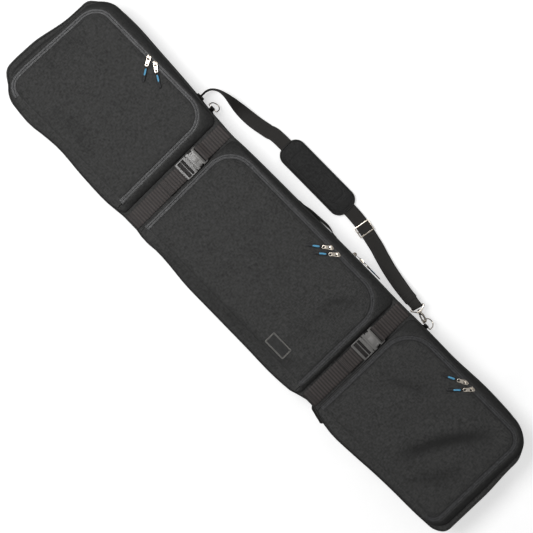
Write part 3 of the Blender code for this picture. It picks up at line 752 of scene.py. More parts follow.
def make_shell():
    """Back and side walls as one padded tub, with an inner wall and floor."""
    floor = panel(BAG.inset(6.0), lambda x, y: 4.5 + 0.5 * ripple(x, y, 3, 90.0))
    # Inset and height: up the inner wall, over the rim and down the outside
    steps = ((5.0, 5.5), (4.2, 12.0), (4.0, 40.0), (3.6, 53.0), (3.4, 56.3), (2.6, 56.9),
             (1.4, 56.6), (0.8, 55.4), (0.5, 50.0), (0.2, 40.0), (0.2, 24.0), (0.8, 12.0),
             (1.8, 6.0), (3.6, 2.6), (6.0, 0.8), (9.0, 0.15))
    loops = []
    for inset, z in steps:
        ring = border(panel(pinched(smoothstep(24.0, 50.0, z)).inset(inset), z))
        outside = smoothstep(50.0, 30.0, z) * (inset < 3.0)
        ring[:, 2] += outside * 0.8 * ripple(ring[:, 0] + ring[:, 1], ring[:, 2], 5, 70.0)
        loops.append(ring)
    back = panel(BAG.inset(12.0), 0.1)
    make("back_shell_cloth", *skin(floor, loops, back), CLOTH, "shell", ["back_shell"],
         "body_polyester")


def make_lid():
    """Front panel of the main compartment with its low skirt."""
    top = panel(BAG.inset(5.0), lambda x, y: LID_TOP - 0.7 + 0.25 * ripple(x, y, 11, 45.0))
    # Inset and height: down the outside of the skirt and up its inside
    steps = ((2.8, 79.0), (1.2, 77.2), (0.4, 74.5), (0.2, 71.0), (0.6, 68.0), (1.2, 67.4),
             (2.8, 67.4), (3.4, 68.2), (3.6, 74.0))
    loops = [border(panel(pinched(smoothstep(79.0, 70.0, z)).inset(inset), z))
             for inset, z in steps]
    ceiling = panel(BAG.inset(5.0), 76.6)
    make("front_lid_cloth", *skin(top, loops, ceiling), CLOTH, "lid", ["front_lid"],
         "body_polyester")


def make_piping(name, inset, z, radius, body):
    """A cord covered with cloth, sewn into the seam all round."""
    ring = border(level(BAG.inset(inset), 60, np.linspace(0.0, 1.0, 30), z, 12))
    batch = Batch().add(*tube(closed_line(ring, 4.0), radius, 10, closed=True))
    batch.make(name, BINDING, body, slot="body_polyester")


def tape_line(inset, z):
    """The main zip's run, everything but the straight left side, and its outward direction."""
    line = pinched(1.0).inset(inset).u_line(3.0, full=True)
    line[:, 2] = z
    return line, frames(line, (0, 0, 1))[0]


def make_main_zip():
    """Two tapes standing on edge, each with its coil on the inside, and their stitching."""
    for node, body, low, high, side in (
            ("main_zip_lower_tape", "shell", LOWER_TAPE[0] - 2.5, ZIP_MID - 0.15, -1.0),
            ("main_zip_upper_tape", "lid", ZIP_MID + 0.15, UPPER_TAPE[1] + 2.0, 1.0)):
        path, _ = tape_line(0.9, (low + high) / 2)
        standing = band((high - low) / 2, TAPE_THICK / 2)[:, ::-1] * (1, -1)
        batch = Batch().add(*sweep(path, *frames(path, (0, 0, 1)), standing))
        batch.make(node + "_cloth", TAPE, body, [node], "zip_tape")
        teeth = coil(Batch(), *tape_line(2.4, ZIP_MID + side * 0.85), phase=0.25 * side)
        teeth.make(node + "_coil", COIL_NYLON, body, slot="zip_tape")
        sewn = stitches(Batch(), *tape_line(0.35, ZIP_MID + side * 3.6))
        sewn.make(node + "_stitches", THREAD, body, slot="zip_tape")


def make_spine():
    """The fabric hinge of the lid: one strip down the left side, sewn at both edges."""
    y = np.linspace(4 + BAG_RADII[0] - HALF_LENGTH, HALF_LENGTH - BAG_RADII[3] - 4, 160)
    z = np.linspace(50.5, 73.0, 19)
    yy, zz = np.meshgrid(y, z)
    bulge = 0.3 + 0.8 * np.sin(math.pi * (zz - z[0]) / (z[-1] - z[0]))
    tucked = smoothstep(18.0, 0.0, np.minimum(yy - y[0], y[-1] - yy))
    outer = np.stack([left_edge(yy) - bulge + 1.6 * tucked, yy, zz], axis=-1)
    inner = outer + (1.4, 0.0, 0.0)
    made = make("spine_cloth", *skin(outer, [border(inner * 0.5 + outer * 0.5)], inner), CLOTH,
                slot="body_polyester")
    recalculate(made)
    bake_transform(made)


# ---------------------------------------------------------------- pockets
POCKETS = ("upper", "middle", "lower")
POCKET_ROWS = 70
POCKET_ACROSS = columns(38, (0.004, 0.010, 0.018))
FLAP_LEFT, _, FLAP_BASE = node_box("middle_pocket_flap")[0]
FLAP_EDGE_TOP = node_box("middle_pocket_flap")[1][2]
FLAP_FOLD = 5.2                             # from the zip line in to the flap's folded edge
TAPE_Z = FLAP_BASE + 1.1                    # middle of the pocket zip's tapes
LEFT_RIM = 91.0                             # height of the pockets beside the hinge
HINGE_BENDS = (-0.1420, -0.1395)            # metres, from the pocket's cloth to the flap's

# Corner radii: the zip's two on the right, its turns on the left, and the gusset's foot
ZIP_RADII = {"upper": (52.0, 44.0), "middle": (62.0, 60.0), "lower": (36.0, 68.0)}
ZIP_TURNS = {"upper": (0.0, 34.0), "middle": (0.0, 0.0), "lower": (24.0, 0.0)}
FOOT_RADII = {"upper": (12.0, 16.0, 52.0, 50.0), "middle": (12.0, 16.0, 16.0, 12.0),
              "lower": (32.0, 50.0, 16.0, 12.0)}

# Places along a fold, its width and its height; on the flaps the valleys also get painted shade
CREASES = {
    "upper": (((-60, 640), (10, 655), (75, 640), 16.0, -1.2),
              ((-118, 420), (-96, 500), (-108, 590), 18.0, -1.4)),
    "middle": (((8, -158), (50, -178), (84, -214), 8.0, -3.0),
               ((20, -140), (66, -168), (100, -205), 12.0, 2.0),
               ((-128, -170), (-110, -205), (-92, -238), 10.0, -1.6)),
    "lower": (((-100, -508), (10, -560), (98, -628), 15.0, -4.4),
              ((-110, -480), (0, -528), (104, -590), 20.0, 2.6),
              ((-70, -590), (0, -610), (60, -650), 20.0, 2.0),
              ((6, -352), (30, -410), (62, -462), 13.0, -2.4),
              ((-112, -560), (-70, -600), (-10, -640), 18.0, -2.2)),
}
# painted soft shadows across the flaps and the cloth beside them
SHADOWS = {                                 # soft dark bands across the flaps
    "upper": (((-150, 600), (-146, 500), (-140, 400), 9.0, 0.22),),
    "middle": (((-158, 215), (-146, 120), (-141, -60), (-136, -190), (-116, -240), 15.0, 0.50),
               ((-96, -172), (-10, -168), (96, -238), 8.0, 0.20)),
    "lower": (((-100, -508), (10, -560), (98, -628), 12.0, 0.16),),
}


def turned(pocket, y):
    """1 beside the corners where a pocket's zip leaves the hinge line, 0 along the hinge."""
    low, high = node_box(pocket + "_pocket_flap")
    first, last = ZIP_TURNS[pocket]
    share = 0.0 * y
    if first:
        share = share + smoothstep(low[1] + first + 30.0, low[1] + first, y)
    if last:
        share = share + smoothstep(high[1] - last - 30.0, high[1] - last, y)
    return share


def zip_outline(pocket, offset):
    """The pocket's zip line moved outwards; its left side follows the flap's hinge."""
    low, high = node_box(pocket + "_pocket_flap")
    lower, upper = ZIP_RADII[pocket]
    first, last = ZIP_TURNS[pocket]
    radii = (first + offset if first else 4.0, lower + offset, upper + offset,
             last + offset if last else 4.0)
    return Outline(low[1] - offset, high[1] + offset,
                   lambda y: FLAP_LEFT + 1.2 - offset * turned(pocket, y),
                   upright(high[0] + offset), radii)


def flap_height(pocket):
    """Height of the flap's cloth: a crowned, slightly creased panel."""
    outline = zip_outline(pocket, 0.0)
    right = node_box(pocket + "_pocket_flap")[1][0]
    letter = ord(pocket[0])

    def height(x, y):
        depth = outline.depth(x, y)
        from_left = x - FLAP_LEFT
        z = FLAP_EDGE_TOP + 1.1 * smoothstep(0.0, 26.0, depth)
        z = z - 2.2 * (1 - smoothstep(0.0, 22.0, from_left))
        inside = smoothstep(8.0, 34.0, depth)
        beyond_zip = smoothstep(62.0, 100.0, right - x)
        z = z + 2.6 * smoothstep(45.0, 105.0, np.minimum(depth, from_left)) * beyond_zip
        soft = 0.30 * ripple(x, y, len(pocket) * 7 + letter, 58.0)
        soft = soft + 0.10 * ripple(x, y, len(pocket) * 5 + letter, 21.0)
        for *points, width, tall in CREASES[pocket]:
            soft = soft + crease(x, y, points, width, tall)
        z = z + soft * inside
        ceiling = np.where(right - x < 60.0, FLAP_EDGE_TOP + 1.9, FLAP_EDGE_TOP + 6.5)
        return np.minimum(z, ceiling)
    return height


def shadow(pocket, x, y):
    """The painted soft shadow bands of a pocket, on its flap and on the cloth beside it."""
    return sum(crease(x, y, points, width, dark) for *points, width, dark in SHADOWS[pocket])


def flap_shade(pocket):
    """Painted shade of the flap: at its folded edge, on its left margin and in its crease valleys, a
    dark seam line, and painted shadow bands.
    """
    outline = zip_outline(pocket, -FLAP_FOLD)

    def shade(x, y):
        depth = outline.depth(x, y)
        # painted shade in the gap at the folded edge, and a dark line along the seam inside it
        found = 0.85 * np.exp(-((depth / 2.2) ** 2)) + 0.30 * np.exp(-(((depth - 6.0) / 2.0) ** 2))
        # painted shade on the left margin, which slopes away from the light
        found = found + 0.30 * (1 - smoothstep(0.0, 16.0, x - FLAP_LEFT))
        # painted shade in the crease valleys
        for *points, width, tall in CREASES[pocket]:
            found = found - 0.22 * crease(x, y, points, width, tall) * (tall < 0)
        found = found + shadow(pocket, x, y)
        return np.clip(found, 0.0, 1.0)
    return shade


def sheet(outline, z):
    return level(outline, POCKET_ROWS, POCKET_ACROSS, z)


def make_flap(pocket):
    """Front panel of a pocket with its half of the zip, and the sewing along its fold."""
    body = pocket + "_flap"
    height = flap_height(pocket)
    outline = zip_outline(pocket, -FLAP_FOLD)
    top = sheet(outline.inset(0.8), height)
    loops = []
    for inset, drop in ((0.25, 0.25), (0.0, 0.8), (0.0, 1.5), (0.5, 2.1)):
        ring = border(sheet(outline.inset(inset), 0.0))
        ring[:, 2] = border(top)[:, 2] - drop
        loops.append(ring)
    under = sheet(outline.inset(1.6),
                  lambda x, y: np.minimum(height(x, y) - 2.2, FLAP_BASE + 0.3))
    # painted shade: the flap's own, and more on the walls of its folded edge
    dark = skin_shade(flap_shade(pocket)(top[..., 0], top[..., 1]), (0.8,) * len(loops))
    make(body + "_cloth", *skin(top, loops, under), FLAP_CLOTH, body, [pocket + "_pocket_flap"],
         "flap_polyester", shade=dark)

    pocket_tape(pocket, -1).make(body + "_zip_tape", TAPE, body, slot="zip_tape")
    teeth = coil(Batch(), teeth_line(pocket, -0.85), (0, 0, 1))
    teeth.make(body + "_zip_coil", COIL_NYLON, body, slot="zip_tape")

    sewn = Batch()
    for inset in (2.6, 8.6):
        line = outline.inset(inset).u_line(left=FLAP_LEFT + 4.0)
        line[:, 2] = height(line[:, 0], line[:, 1]) + 0.05
        stitches(sewn, line, (0, 0, 1))
    sewn.make(body + "_stitches", THREAD, body, slot="flap_polyester")


def pocket_tape(pocket, side):
    """One half of a pocket's zip tape, with painted shade where it runs in under the fold."""
    line = zip_outline(pocket, side * 3.3).u_line(left=FLAP_LEFT + 3.0)
    line[:, 2] = TAPE_Z
    profile = band(3.1, TAPE_THICK / 2)
    # painted shade on the tape's outer part, which runs in under the fold
    dark = 0.95 * smoothstep(-0.6, 1.6, profile[:, 0] * side)
    strip = sweep(line, *frames(line, (0, 0, 1)), profile)
    return Batch().add(*strip, np.tile(dark, len(line)))


def teeth_line(pocket, offset):
    line = zip_outline(pocket, offset).u_line(left=FLAP_LEFT + 6.0)
    line[:, 2] = TAPE_Z - TAPE_THICK / 2 - 0.75
    return line


def pocket_left(pocket, y, step, at_turn):
    """The left rim of a pocket: just inside the bag's edge, or another place beside a turned zip."""
    share = turned(pocket, y)
    return np.minimum(left_edge(y) + step, FLAP_LEFT - 0.8) * (1 - share) + at_turn * share


def make_pocket(pocket):
    """Pocket walls: a floor and an open mouth, the fold beside the zip, and a sloping gusset."""
    low, high = node_box(pocket + "_pocket_body")
    zip_low, zip_high = node_box(pocket + "_pocket_flap")
    lower, upper = ZIP_RADII[pocket]
    first, last = ZIP_TURNS[pocket]
    rim_z = high[2]
    base = Outline(low[1], high[1], lambda y: left_edge(y) + 3.5, lambda y: right_edge(y) - 3.0,
                   FOOT_RADII[pocket])
    mouth = Outline(zip_low[1] + 11.0, zip_high[1] - 11.0, upright(FLAP_LEFT + 6.0),
                    upright(zip_high[0] - 11.0),
                    (max(first - 6.0, 6.0), lower - 11.0, upper - 11.0, max(last - 6.0, 6.0)))

    def ring(outline, z, z_left):
        points = border(sheet(outline, z))
        left = 1 - smoothstep(FLAP_LEFT + 3.0, FLAP_LEFT + 20.0, points[:, 0])
        points[:, 2] += left * (z_left - z)
        return points

    def fold(offset):
        found = zip_outline(pocket, offset)
        own = found.left
        found.left = lambda y: pocket_left(pocket, y, 6.0, own(y))
        return found

    rises = ((mouth, -1.4, -2.4), (mouth.inset(-1.0), -0.6, -1.6), (fold(3.9), -0.3, -1.0),
             (fold(4.6), 1.6, -0.4), (fold(5.0), 2.6, -0.1), (fold(5.8), 3.0, 0.0),
             (fold(7.4), 2.8, -0.2))
    loops = [ring(outline, rim_z + rise, LEFT_RIM + left) for outline, rise, left in rises]
    head, foot = loops[-1], ring(base, LID_TOP + 1.2, LID_TOP + 1.2)
    for share, drop in ((0.16, 0.05), (0.36, 0.17), (0.6, 0.38), (0.82, 0.64), (0.95, 0.86)):
        points = head * (1 - share) + foot * share
        points[:, 2] = head[:, 2] * (1 - drop) + foot[:, 2] * drop
        slack = math.sin(math.pi * share)
        points[:, 2] += 0.5 * slack * ripple(points[:, 0], points[:, 1], 31, 40.0)
        loops.append(points)
    loops += [foot, ring(base.inset(0.6), LID_TOP + 0.2, LID_TOP + 0.2)]
    floor = sheet(mouth.inset(-0.2), low[2] + 1.5)
    points, faces = skin(floor, loops, sheet(base.inset(3.0), LID_TOP - 0.1))

    # Painted shade for the pocket's floor and one value for each loop: in the mouth, in the fold
    # beside the zip, on the gusset's slopes and at its foot; stronger at the zip side and the bag's
    # ends, where the slopes face away from the light, than elsewhere
    dark = (1.1, 1.1, 1.0, 0.9, 0.4, 0.2, 0.4, 0.6, 0.75, 0.8, 0.8, 0.9, 1.2, 1.2)
    x, y = points[:, 0], points[:, 1]
    outside = np.maximum(smoothstep(90.0, 122.0, x), smoothstep(640.0, 668.0, np.abs(y)))
    shades = skin_shade(np.full(floor.shape[:2], 0.9), dark) * (0.45 + 0.5 * outside)
    # less painted shade beside the hinge on the left
    shades *= 0.2 + 0.8 * smoothstep(FLAP_LEFT - 6.0, FLAP_LEFT + 4.0, x)
    shades = np.clip(shades + shadow(pocket, x, y), 0.0, 1.2)
    make(pocket + "_pocket_cloth", points, faces, CLOTH, "lid", [pocket + "_pocket_body"],
         "body_polyester", shade=shades)

    pocket_tape(pocket, 1).make(pocket + "_pocket_zip_tape", TAPE, "lid", [pocket + "_pocket_zip"],
                                "zip_tape")
    teeth = coil(Batch(), teeth_line(pocket, 0.85), (0, 0, 1), phase=0.5)
    teeth.make(pocket + "_pocket_zip_coil", COIL_NYLON, "lid", slot="zip_tape")

    line = zip_outline(pocket, 7.0).u_line(left=FLAP_LEFT + 4.0)
    line[:, 2] = rim_z + 2.95
    sewn = stitches(Batch(), line, (0, 0, 1))
    sewn.make(pocket + "_pocket_stitches", THREAD, "lid", slot="body_polyester")

    y = np.linspace(zip_low[1] + first, zip_high[1] - last, 70)
    sunk = 2.4 * smoothstep(14.0, 0.0, np.minimum(y - y[0], y[-1] - y))
    welt = np.stack([pocket_left(pocket, y, 6.4, FLAP_LEFT - 4.0), y, LEFT_RIM - sunk], axis=1)
    bead = Batch().add(*tube(welt, 1.7, 10))
    bead.make(pocket + "_pocket_left_welt", BINDING, "lid", slot="body_polyester")


def make_flap_hinge(pocket):
    """The cloth that joins a flap's left edge to the pocket."""
    low, high = node_box(pocket + "_pocket_flap")
    first, last = ZIP_TURNS[pocket]
    y = np.linspace(low[1] + first - 3.0, high[1] - last + 3.0, 90)
    yy, share = np.meshgrid(y, np.linspace(0.0, 1.0, 12), indexing="ij")
    start = pocket_left(pocket, yy, 6.6, FLAP_LEFT - 4.6)
    stop = np.full_like(yy, FLAP_LEFT + 7.0)
    low_z, high_z = LEFT_RIM + 0.6, flap_height(pocket)(stop, yy) + 0.35
    z = low_z + (high_z - low_z) * np.sin(share * math.pi / 2) ** 0.8
    outer = np.stack([start + (stop - start) * share, yy, z], axis=-1)
    inner = outer - (0.0, 0.0, 1.0)
    points, faces = skin(outer, [border(outer * 0.5 + inner * 0.5)], inner)
    # the pocket's painted shadow bands go on over the hinge cloth
    made = make(pocket + "_flap_hinge_cloth", points, faces, FLAP_CLOTH, slot="flap_polyester",
                shade=shadow(pocket, points[:, 0], points[:, 1]))
    recalculate(made)
    start, end = ((x, 0, 0.094) for x in HINGE_BENDS)
    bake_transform(made)


make_shell()
make_lid()
make_main_zip()
make_spine()
make_piping("front_edge_piping", 1.6, 79.0, 1.7, "lid")
make_piping("back_edge_piping", 1.0, 5.5, 1.9, "shell")
for pocket_name in POCKETS:
    make_flap(pocket_name)
    make_pocket(pocket_name)
    make_flap_hinge(pocket_name)


# ---------------------------------------------------------------- webbing
def web_profile(half_width, half_thick, run, rib, relief):
    """Profiles along a ribbed web: thicker on each rib, with a plain selvedge."""
    flat = band(half_width, half_thick, 8)
    wave = relief * np.abs(np.sin(math.pi * run / rib))[:, None]
    inner = (np.abs(flat[:, 0]) < half_width - 2.0)[None, :]
    rise = np.sign(flat[:, 1])[None, :] * wave * inner
    profile = np.repeat(flat[None, :, :], len(run), axis=0).copy()
    profile[..., 1] += rise
    return profile


def web(batch, path, up, half_width, half_thick, rib=6.9, relief=0.35, step=0.8, dark=()):
    """Webbing along a path, with painted shade in the grooves between its ribs and in the given spans
    of x.
    """
    path = spaced(path, step)
    run = np.arange(len(path)) * step
    side, above = frames(path, up)
    profile = web_profile(half_width, half_thick, run, rib, relief)
    # painted shade in the grooves between the ribs
    groove_shade = 1 - np.abs(np.sin(math.pi * run / rib)) ** 1.5
    for start, stop, much in dark:
        groove_shade = np.maximum(groove_shade, much * ((path[:, 0] > start) & (path[:, 0] < stop)))
    return batch.add(*sweep(path, side, above, profile), np.repeat(groove_shade, profile.shape[1]))


STRAPS = ("upper", "lower")
STRAP_HALF_THICK = 0.65
LEFT_WEB_END = 12.0                         # under the plug
SEWN_END = 100.0                            # where the right web's upper layer ends
# the span below is painted shade on the webbing that shows through the plug's slots
BUCKLE_SHADE_SPAN = (7.0, 26.0, 1.0)             # a span of x and how dark it is there
BAR_STITCH = (2.4, 1.9, 0.3)                # a row of stitches across webbing
TAB_STITCH = (1.6, 1.4, 0.3)


def rounded_path(points, y, radius=1.6):
    """A path through (x, z) points at one y, with its bends rounded."""
    points = np.array([(x, y, z) for x, z in points], float)
    found = [points[0]]
    for a, b, c in zip(points, points[1:], points[2:]):
        into, out = a - b, c - b
        reach = min(radius, np.linalg.norm(into) / 2.2, np.linalg.norm(out) / 2.2)
        first, last = b + unit(into) * reach, b + unit(out) * reach
        for t in np.linspace(0.0, 1.0, 6):
            found.append((1 - t) ** 2 * first + 2 * t * (1 - t) * b + t * t * last)
    return np.array([*found, points[-1]])


def web_up(path):
    """The up vector of a web that runs in the XZ plane, from its own tangent."""
    return np.cross(unit(np.gradient(path, axis=0)), (0.0, 1.0, 0.0))


def make_compression_strap(name):
    """Webbing over the lid, led under the plug's bar and sewn round the socket's bar."""
    low, high = node_box(name + "_strap_tail")
    y, half = (low[1] + high[1]) / 2, (high[1] - low[1]) / 2
    plug_low, plug_high = node_box(name + "_buckle_plug")
    flat_z = LID_TOP + 1.1
    left_x, right_x = left_edge(y) - 0.9, right_edge(y) + 0.9
    tail_x = low[0]
    # painted shade under the buckle and where the left web turns down the side, and painted shadows
    # beyond the tail's end and the hem's end
    dark = (BUCKLE_SHADE_SPAN, (left_x - 1, left_x + 20, 0.55), (tail_x - 3.2, tail_x - 0.2, 0.9),
            (tail_x + 12.0, tail_x + 14.6, 0.8))

    def strip(piece, node, body, points):
        path = spaced(rounded_path(points, y), 1.0)
        batch = web(Batch(), path, web_up(path), half, STRAP_HALF_THICK, dark=dark)
        batch.make(name + piece, RIBBED, body, [name + node], "ribbed_webbing", 75.0)

    def sew(piece, body, places, z, inset):
        sewn = Batch()
        for x in places:
            stitches(sewn, [(x, y - half + inset, z), (x, y + half - inset, z)], (0, 0, 1), BAR_STITCH)
        sewn.make(name + piece, THREAD, body, slot="ribbed_webbing")

    strip("_left_web", "_strap_left", "lid",
          [(left_x, 68.6), (left_x, 76.0), (left_x + 5.0, flat_z - 0.2), (-60.0, flat_z),
           (LEFT_WEB_END, flat_z)])
    under, over = plug_low[2] - 1.15, plug_high[2] + 1.2
    rise = plug_low[0] + 19.6
    strip("_tail_web", "_strap_tail", name + "_plug",
          [(tail_x, flat_z + 2.2), (tail_x + 14, flat_z + 2.7), (-8.0, flat_z + 2.7), (2.0, under),
           (rise - 1.2, under), (rise, under + 0.8), (rise + 0.2, over - 2.2)])
    slot = node_box(name + "_buckle_socket")[1][0] - 6.2
    strip("_right_web", "_strap_right", "lid",
          [(right_x, 68.6), (right_x, 76.0), (right_x - 5.0, flat_z - 0.2),
           (slot + 8.0, flat_z + 0.2), (slot, flat_z), (slot, over + 0.3),
           (slot + 7.2, over + 0.2), (SEWN_END - 18.0, flat_z + 2.2),
           (SEWN_END, flat_z + 1.7)])
    # painted shade at the hem's left end
    hem = web(Batch(), rounded_path([(tail_x + 0.3, flat_z + 3.7), (tail_x + 12.0, flat_z + 4.2)], y),
              (0, 0, 1), half, STRAP_HALF_THICK, 3.4, 0.3, dark=((tail_x, tail_x + 1.4, 0.9),))
    hem.make(name + "_tail_web_hem", RIBBED, name + "_plug", slot="ribbed_webbing", sharp=75.0)
    sew("_right_web_stitches", "lid", (SEWN_END - 6.0, SEWN_END - 14.0), flat_z + 2.75, 3)
    sew("_tail_web_stitches", name + "_plug", (tail_x + 4.0,), flat_z + 4.8, 2)


for strap_name in STRAPS:
    make_compression_strap(strap_name)


# ---------------------------------------------------------------- buckles, hook and slide
def refine(node, material, bevel):
    """Round the edges of a CAD node and give it its finish."""
    made = NODES[node]
    made.data.materials.clear()
    made.data.materials.append(material)
    made.data.shade_smooth()
    weld = made.modifiers.new("Weld", "WELD")
    weld.merge_threshold = 1e-6
    edge = made.modifiers.new("Bevel", "BEVEL")
    edge.width = bevel * MM
    edge.segments = 3
    edge.limit_method = "ANGLE"
    edge.angle_limit = math.radians(28.0)
    edge.harden_normals = True


def beam(x0, x1, y0, y1, z0, z1, round_by):
    """A small bar with its upper edges rounded."""
    loops = []
    for inset, z in ((0.0, z0), (0.0, z1 - round_by), (round_by * 0.35, z1 - round_by * 0.3),
                     (round_by, z1)):
        loops.append([(x0 + inset, y0 + inset, z), (x1 - inset, y0 + inset, z),
                      (x1 - inset, y1 - inset, z), (x0 + inset, y1 - inset, z)])
    points = np.array(loops, float).reshape(-1, 3)
    faces = [tuple(f[::-1]) for f in ring_faces(4, 4, False)]
    faces += [(3, 2, 1, 0), (12, 13, 14, 15)]
    return points, faces


def plate(outline, holes, thick, round_by):
    """A flat plate with holes and rounded edges, centred on z = 0, as points and faces."""
    data = bpy.data.curves.new("plate", "CURVE")
    data.dimensions = "2D"
    data.fill_mode = "BOTH"
    data.extrude = thick / 2 - round_by
    data.bevel_depth = round_by
    data.bevel_resolution = 2
    data.offset = -round_by
    for line in (outline, *holes):
        spline = data.splines.new("POLY")
        spline.points.add(len(line) - 1)
        for point, (x, y) in zip(spline.points, line):
            point.co = (x, y, 0.0, 1.0)
        spline.use_cyclic_u = True
    made = bpy.data.objects.new("plate", data)
    bpy.context.scene.collection.objects.link(made)
    mesh = evaluated_copy(made)
    bm = bmesh.new()
    bm.from_mesh(mesh)
    bmesh.ops.remove_doubles(bm, verts=bm.verts, dist=1e-4)
    bmesh.ops.recalc_face_normals(bm, faces=bm.faces)
    bm.verts.index_update()
    points = np.array([v.co for v in bm.verts])
    faces = [tuple(v.index for v in f.verts) for f in bm.faces]
    bm.free()
    bpy.data.meshes.remove(mesh)
    bpy.data.objects.remove(made)
    bpy.data.curves.remove(data)
    return points, faces


def make_plug(name):
    """The plug: a frame with two slots for the webbing, two sprung arms and a middle guide."""
    low, high = node_box(name + "_buckle_plug")
    half = (high[1] - low[1]) / 2
    edge = [(0.0, 1.5 - half), (1.5, -half), (29.5, -half), (29.5, -17.0), (39.0, -17.0),
            (41.0, -19.6), (45.5, -19.6), (51.5, -15.5), (51.5, -13.5), (40.0, -13.5), (35.0, -12.5),
            (33.0, -3.2), (47.0, -3.2), (48.5, -1.8)]
    outline = edge + [(x, -y) for x, y in reversed(edge)]
    slots = [[(x0, -19.8), (x1, -19.8), (x1, 19.8), (x0, 19.8)]
             for x0, x1 in ((5.6, 14.2), (16.4, 22.4))]
    points, faces = plate(outline, slots, high[2] - low[2], 0.6)
    place = (low[0], (low[1] + high[1]) / 2, (low[2] + high[2]) / 2)
    make(name + "_plug_frame", points + place, faces, PLASTIC, name + "_plug",
         [name + "_buckle_plug"], "buckle_plastic", 35.0)


def make_buckle_details(name):
    """Raised border and finger ribs of the socket, and grip ribs on the plug's frame."""
    def relief(part, body, bars):
        low, high = node_box(name + "_buckle_" + part)
        y = (low[1] + high[1]) / 2
        detail = Batch()
        for x0, x1, y0, y1, height, round_by in bars:
            detail.add(*beam(low[0] + x0, low[0] + x1, y + y0, y + y1, high[2] - 0.2,
                             high[2] - 0.2 + height, round_by))
        detail.make(f"{name}_{part}_relief", PLASTIC, body, slot="buckle_plastic", sharp=30.0)

    # From the part's left end and middle line: x, x, y, y, height and rounding
    relief("socket", "lid", ((9.5, 17.5, -16.0, -14.8, 0.9, 0.5), (9.5, 17.5, 14.8, 16.0, 0.9, 0.5),
                             (1.6, 3.0, -17.0, 17.0, 0.8, 0.5), (20.4, 21.8, -17.0, 17.0, 0.8, 0.5),
                             (6.0, 18.0, -8.0, 8.0, 0.55, 0.4)))
    relief("plug", name + "_plug",
           [(x, x + 0.8, -20.0, 20.0, 0.7, 0.25) for x in (24.4, 26.1, 27.8)])


for node, bevel in (("hook_body", 0.6), ("hook_gate", 0.4), ("tri_glide", 0.45),
                    ("swivel_eye", 0.3)):
    refine(node, METAL, bevel)
for strap_name in STRAPS:
    refine(strap_name + "_buckle_socket", PLASTIC, 0.8)
    make_plug(strap_name)
    make_buckle_details(strap_name)


# ---------------------------------------------------------------- zip pulls
PULLS = [name[:-len("_tab_hinge")] for name in JOINTS if name.endswith("_tab_hinge")]


def arc(center, radius, start, stop, steps):
    turn = np.radians(np.linspace(start, stop, steps + 1))
    return [(center[0] + radius * math.cos(t), center[1] + radius * math.sin(t)) for t in turn]


def placed(points, origin, axes):
    """Local points carried to an origin, with the local axes as rows."""
    return np.asarray(origin) + np.vstack(points) @ np.asarray(axes)


def upright_axes(heading, normal):
    """Local axes as rows: x along a heading and z along a normal."""
    return np.array([heading, np.cross(normal, heading), normal])


def tab_shape():
    """The metal tab: a fork at its bar, a window, a waist and a round end with the cord's hole."""
    outline = [(-0.5, -4.2), (0.6, -4.9), (6.5, -4.9), (9.5, -4.1), (13.0, -4.1)]
    outline += arc((17.0, 0.0), 4.4, -75, 75, 12)
    outline += [(13.0, 4.1), (9.5, 4.1), (6.5, 4.9), (0.6, 4.9), (-0.5, 4.2)]
    window = [(0.9, -3.6), (5.6, -3.6), (6.4, -2.6), (6.4, 2.6), (5.6, 3.6), (0.9, 3.6)]
    hole = arc((17.0, 0.0), 2.3, 0, 345, 15)
    return plate(outline, [window, hole], 1.3, 0.4)


def slider_shape():
    """The slider's body, waisted, with a raised crown; returns a batch."""
    outline = [(-5.4, -2.3), (-3.0, -3.7), (5.0, -3.7), (5.5, -3.0), (5.5, 3.0), (5.0, 3.7),
               (-3.0, 3.7), (-5.4, 2.3)]
    crown = [(-4.0, -1.6), (3.8, -2.2), (4.3, 0.0), (3.8, 2.2), (-4.0, 1.6)]
    body = Batch()
    for line, thick, round_by, middle in ((outline, 1.8, 0.5, 0.9), (crown, 1.0, 0.35, 1.9)):
        points, faces = plate(line, [], thick, round_by)
        body.add(points + (0, 0, middle), faces)
    return body


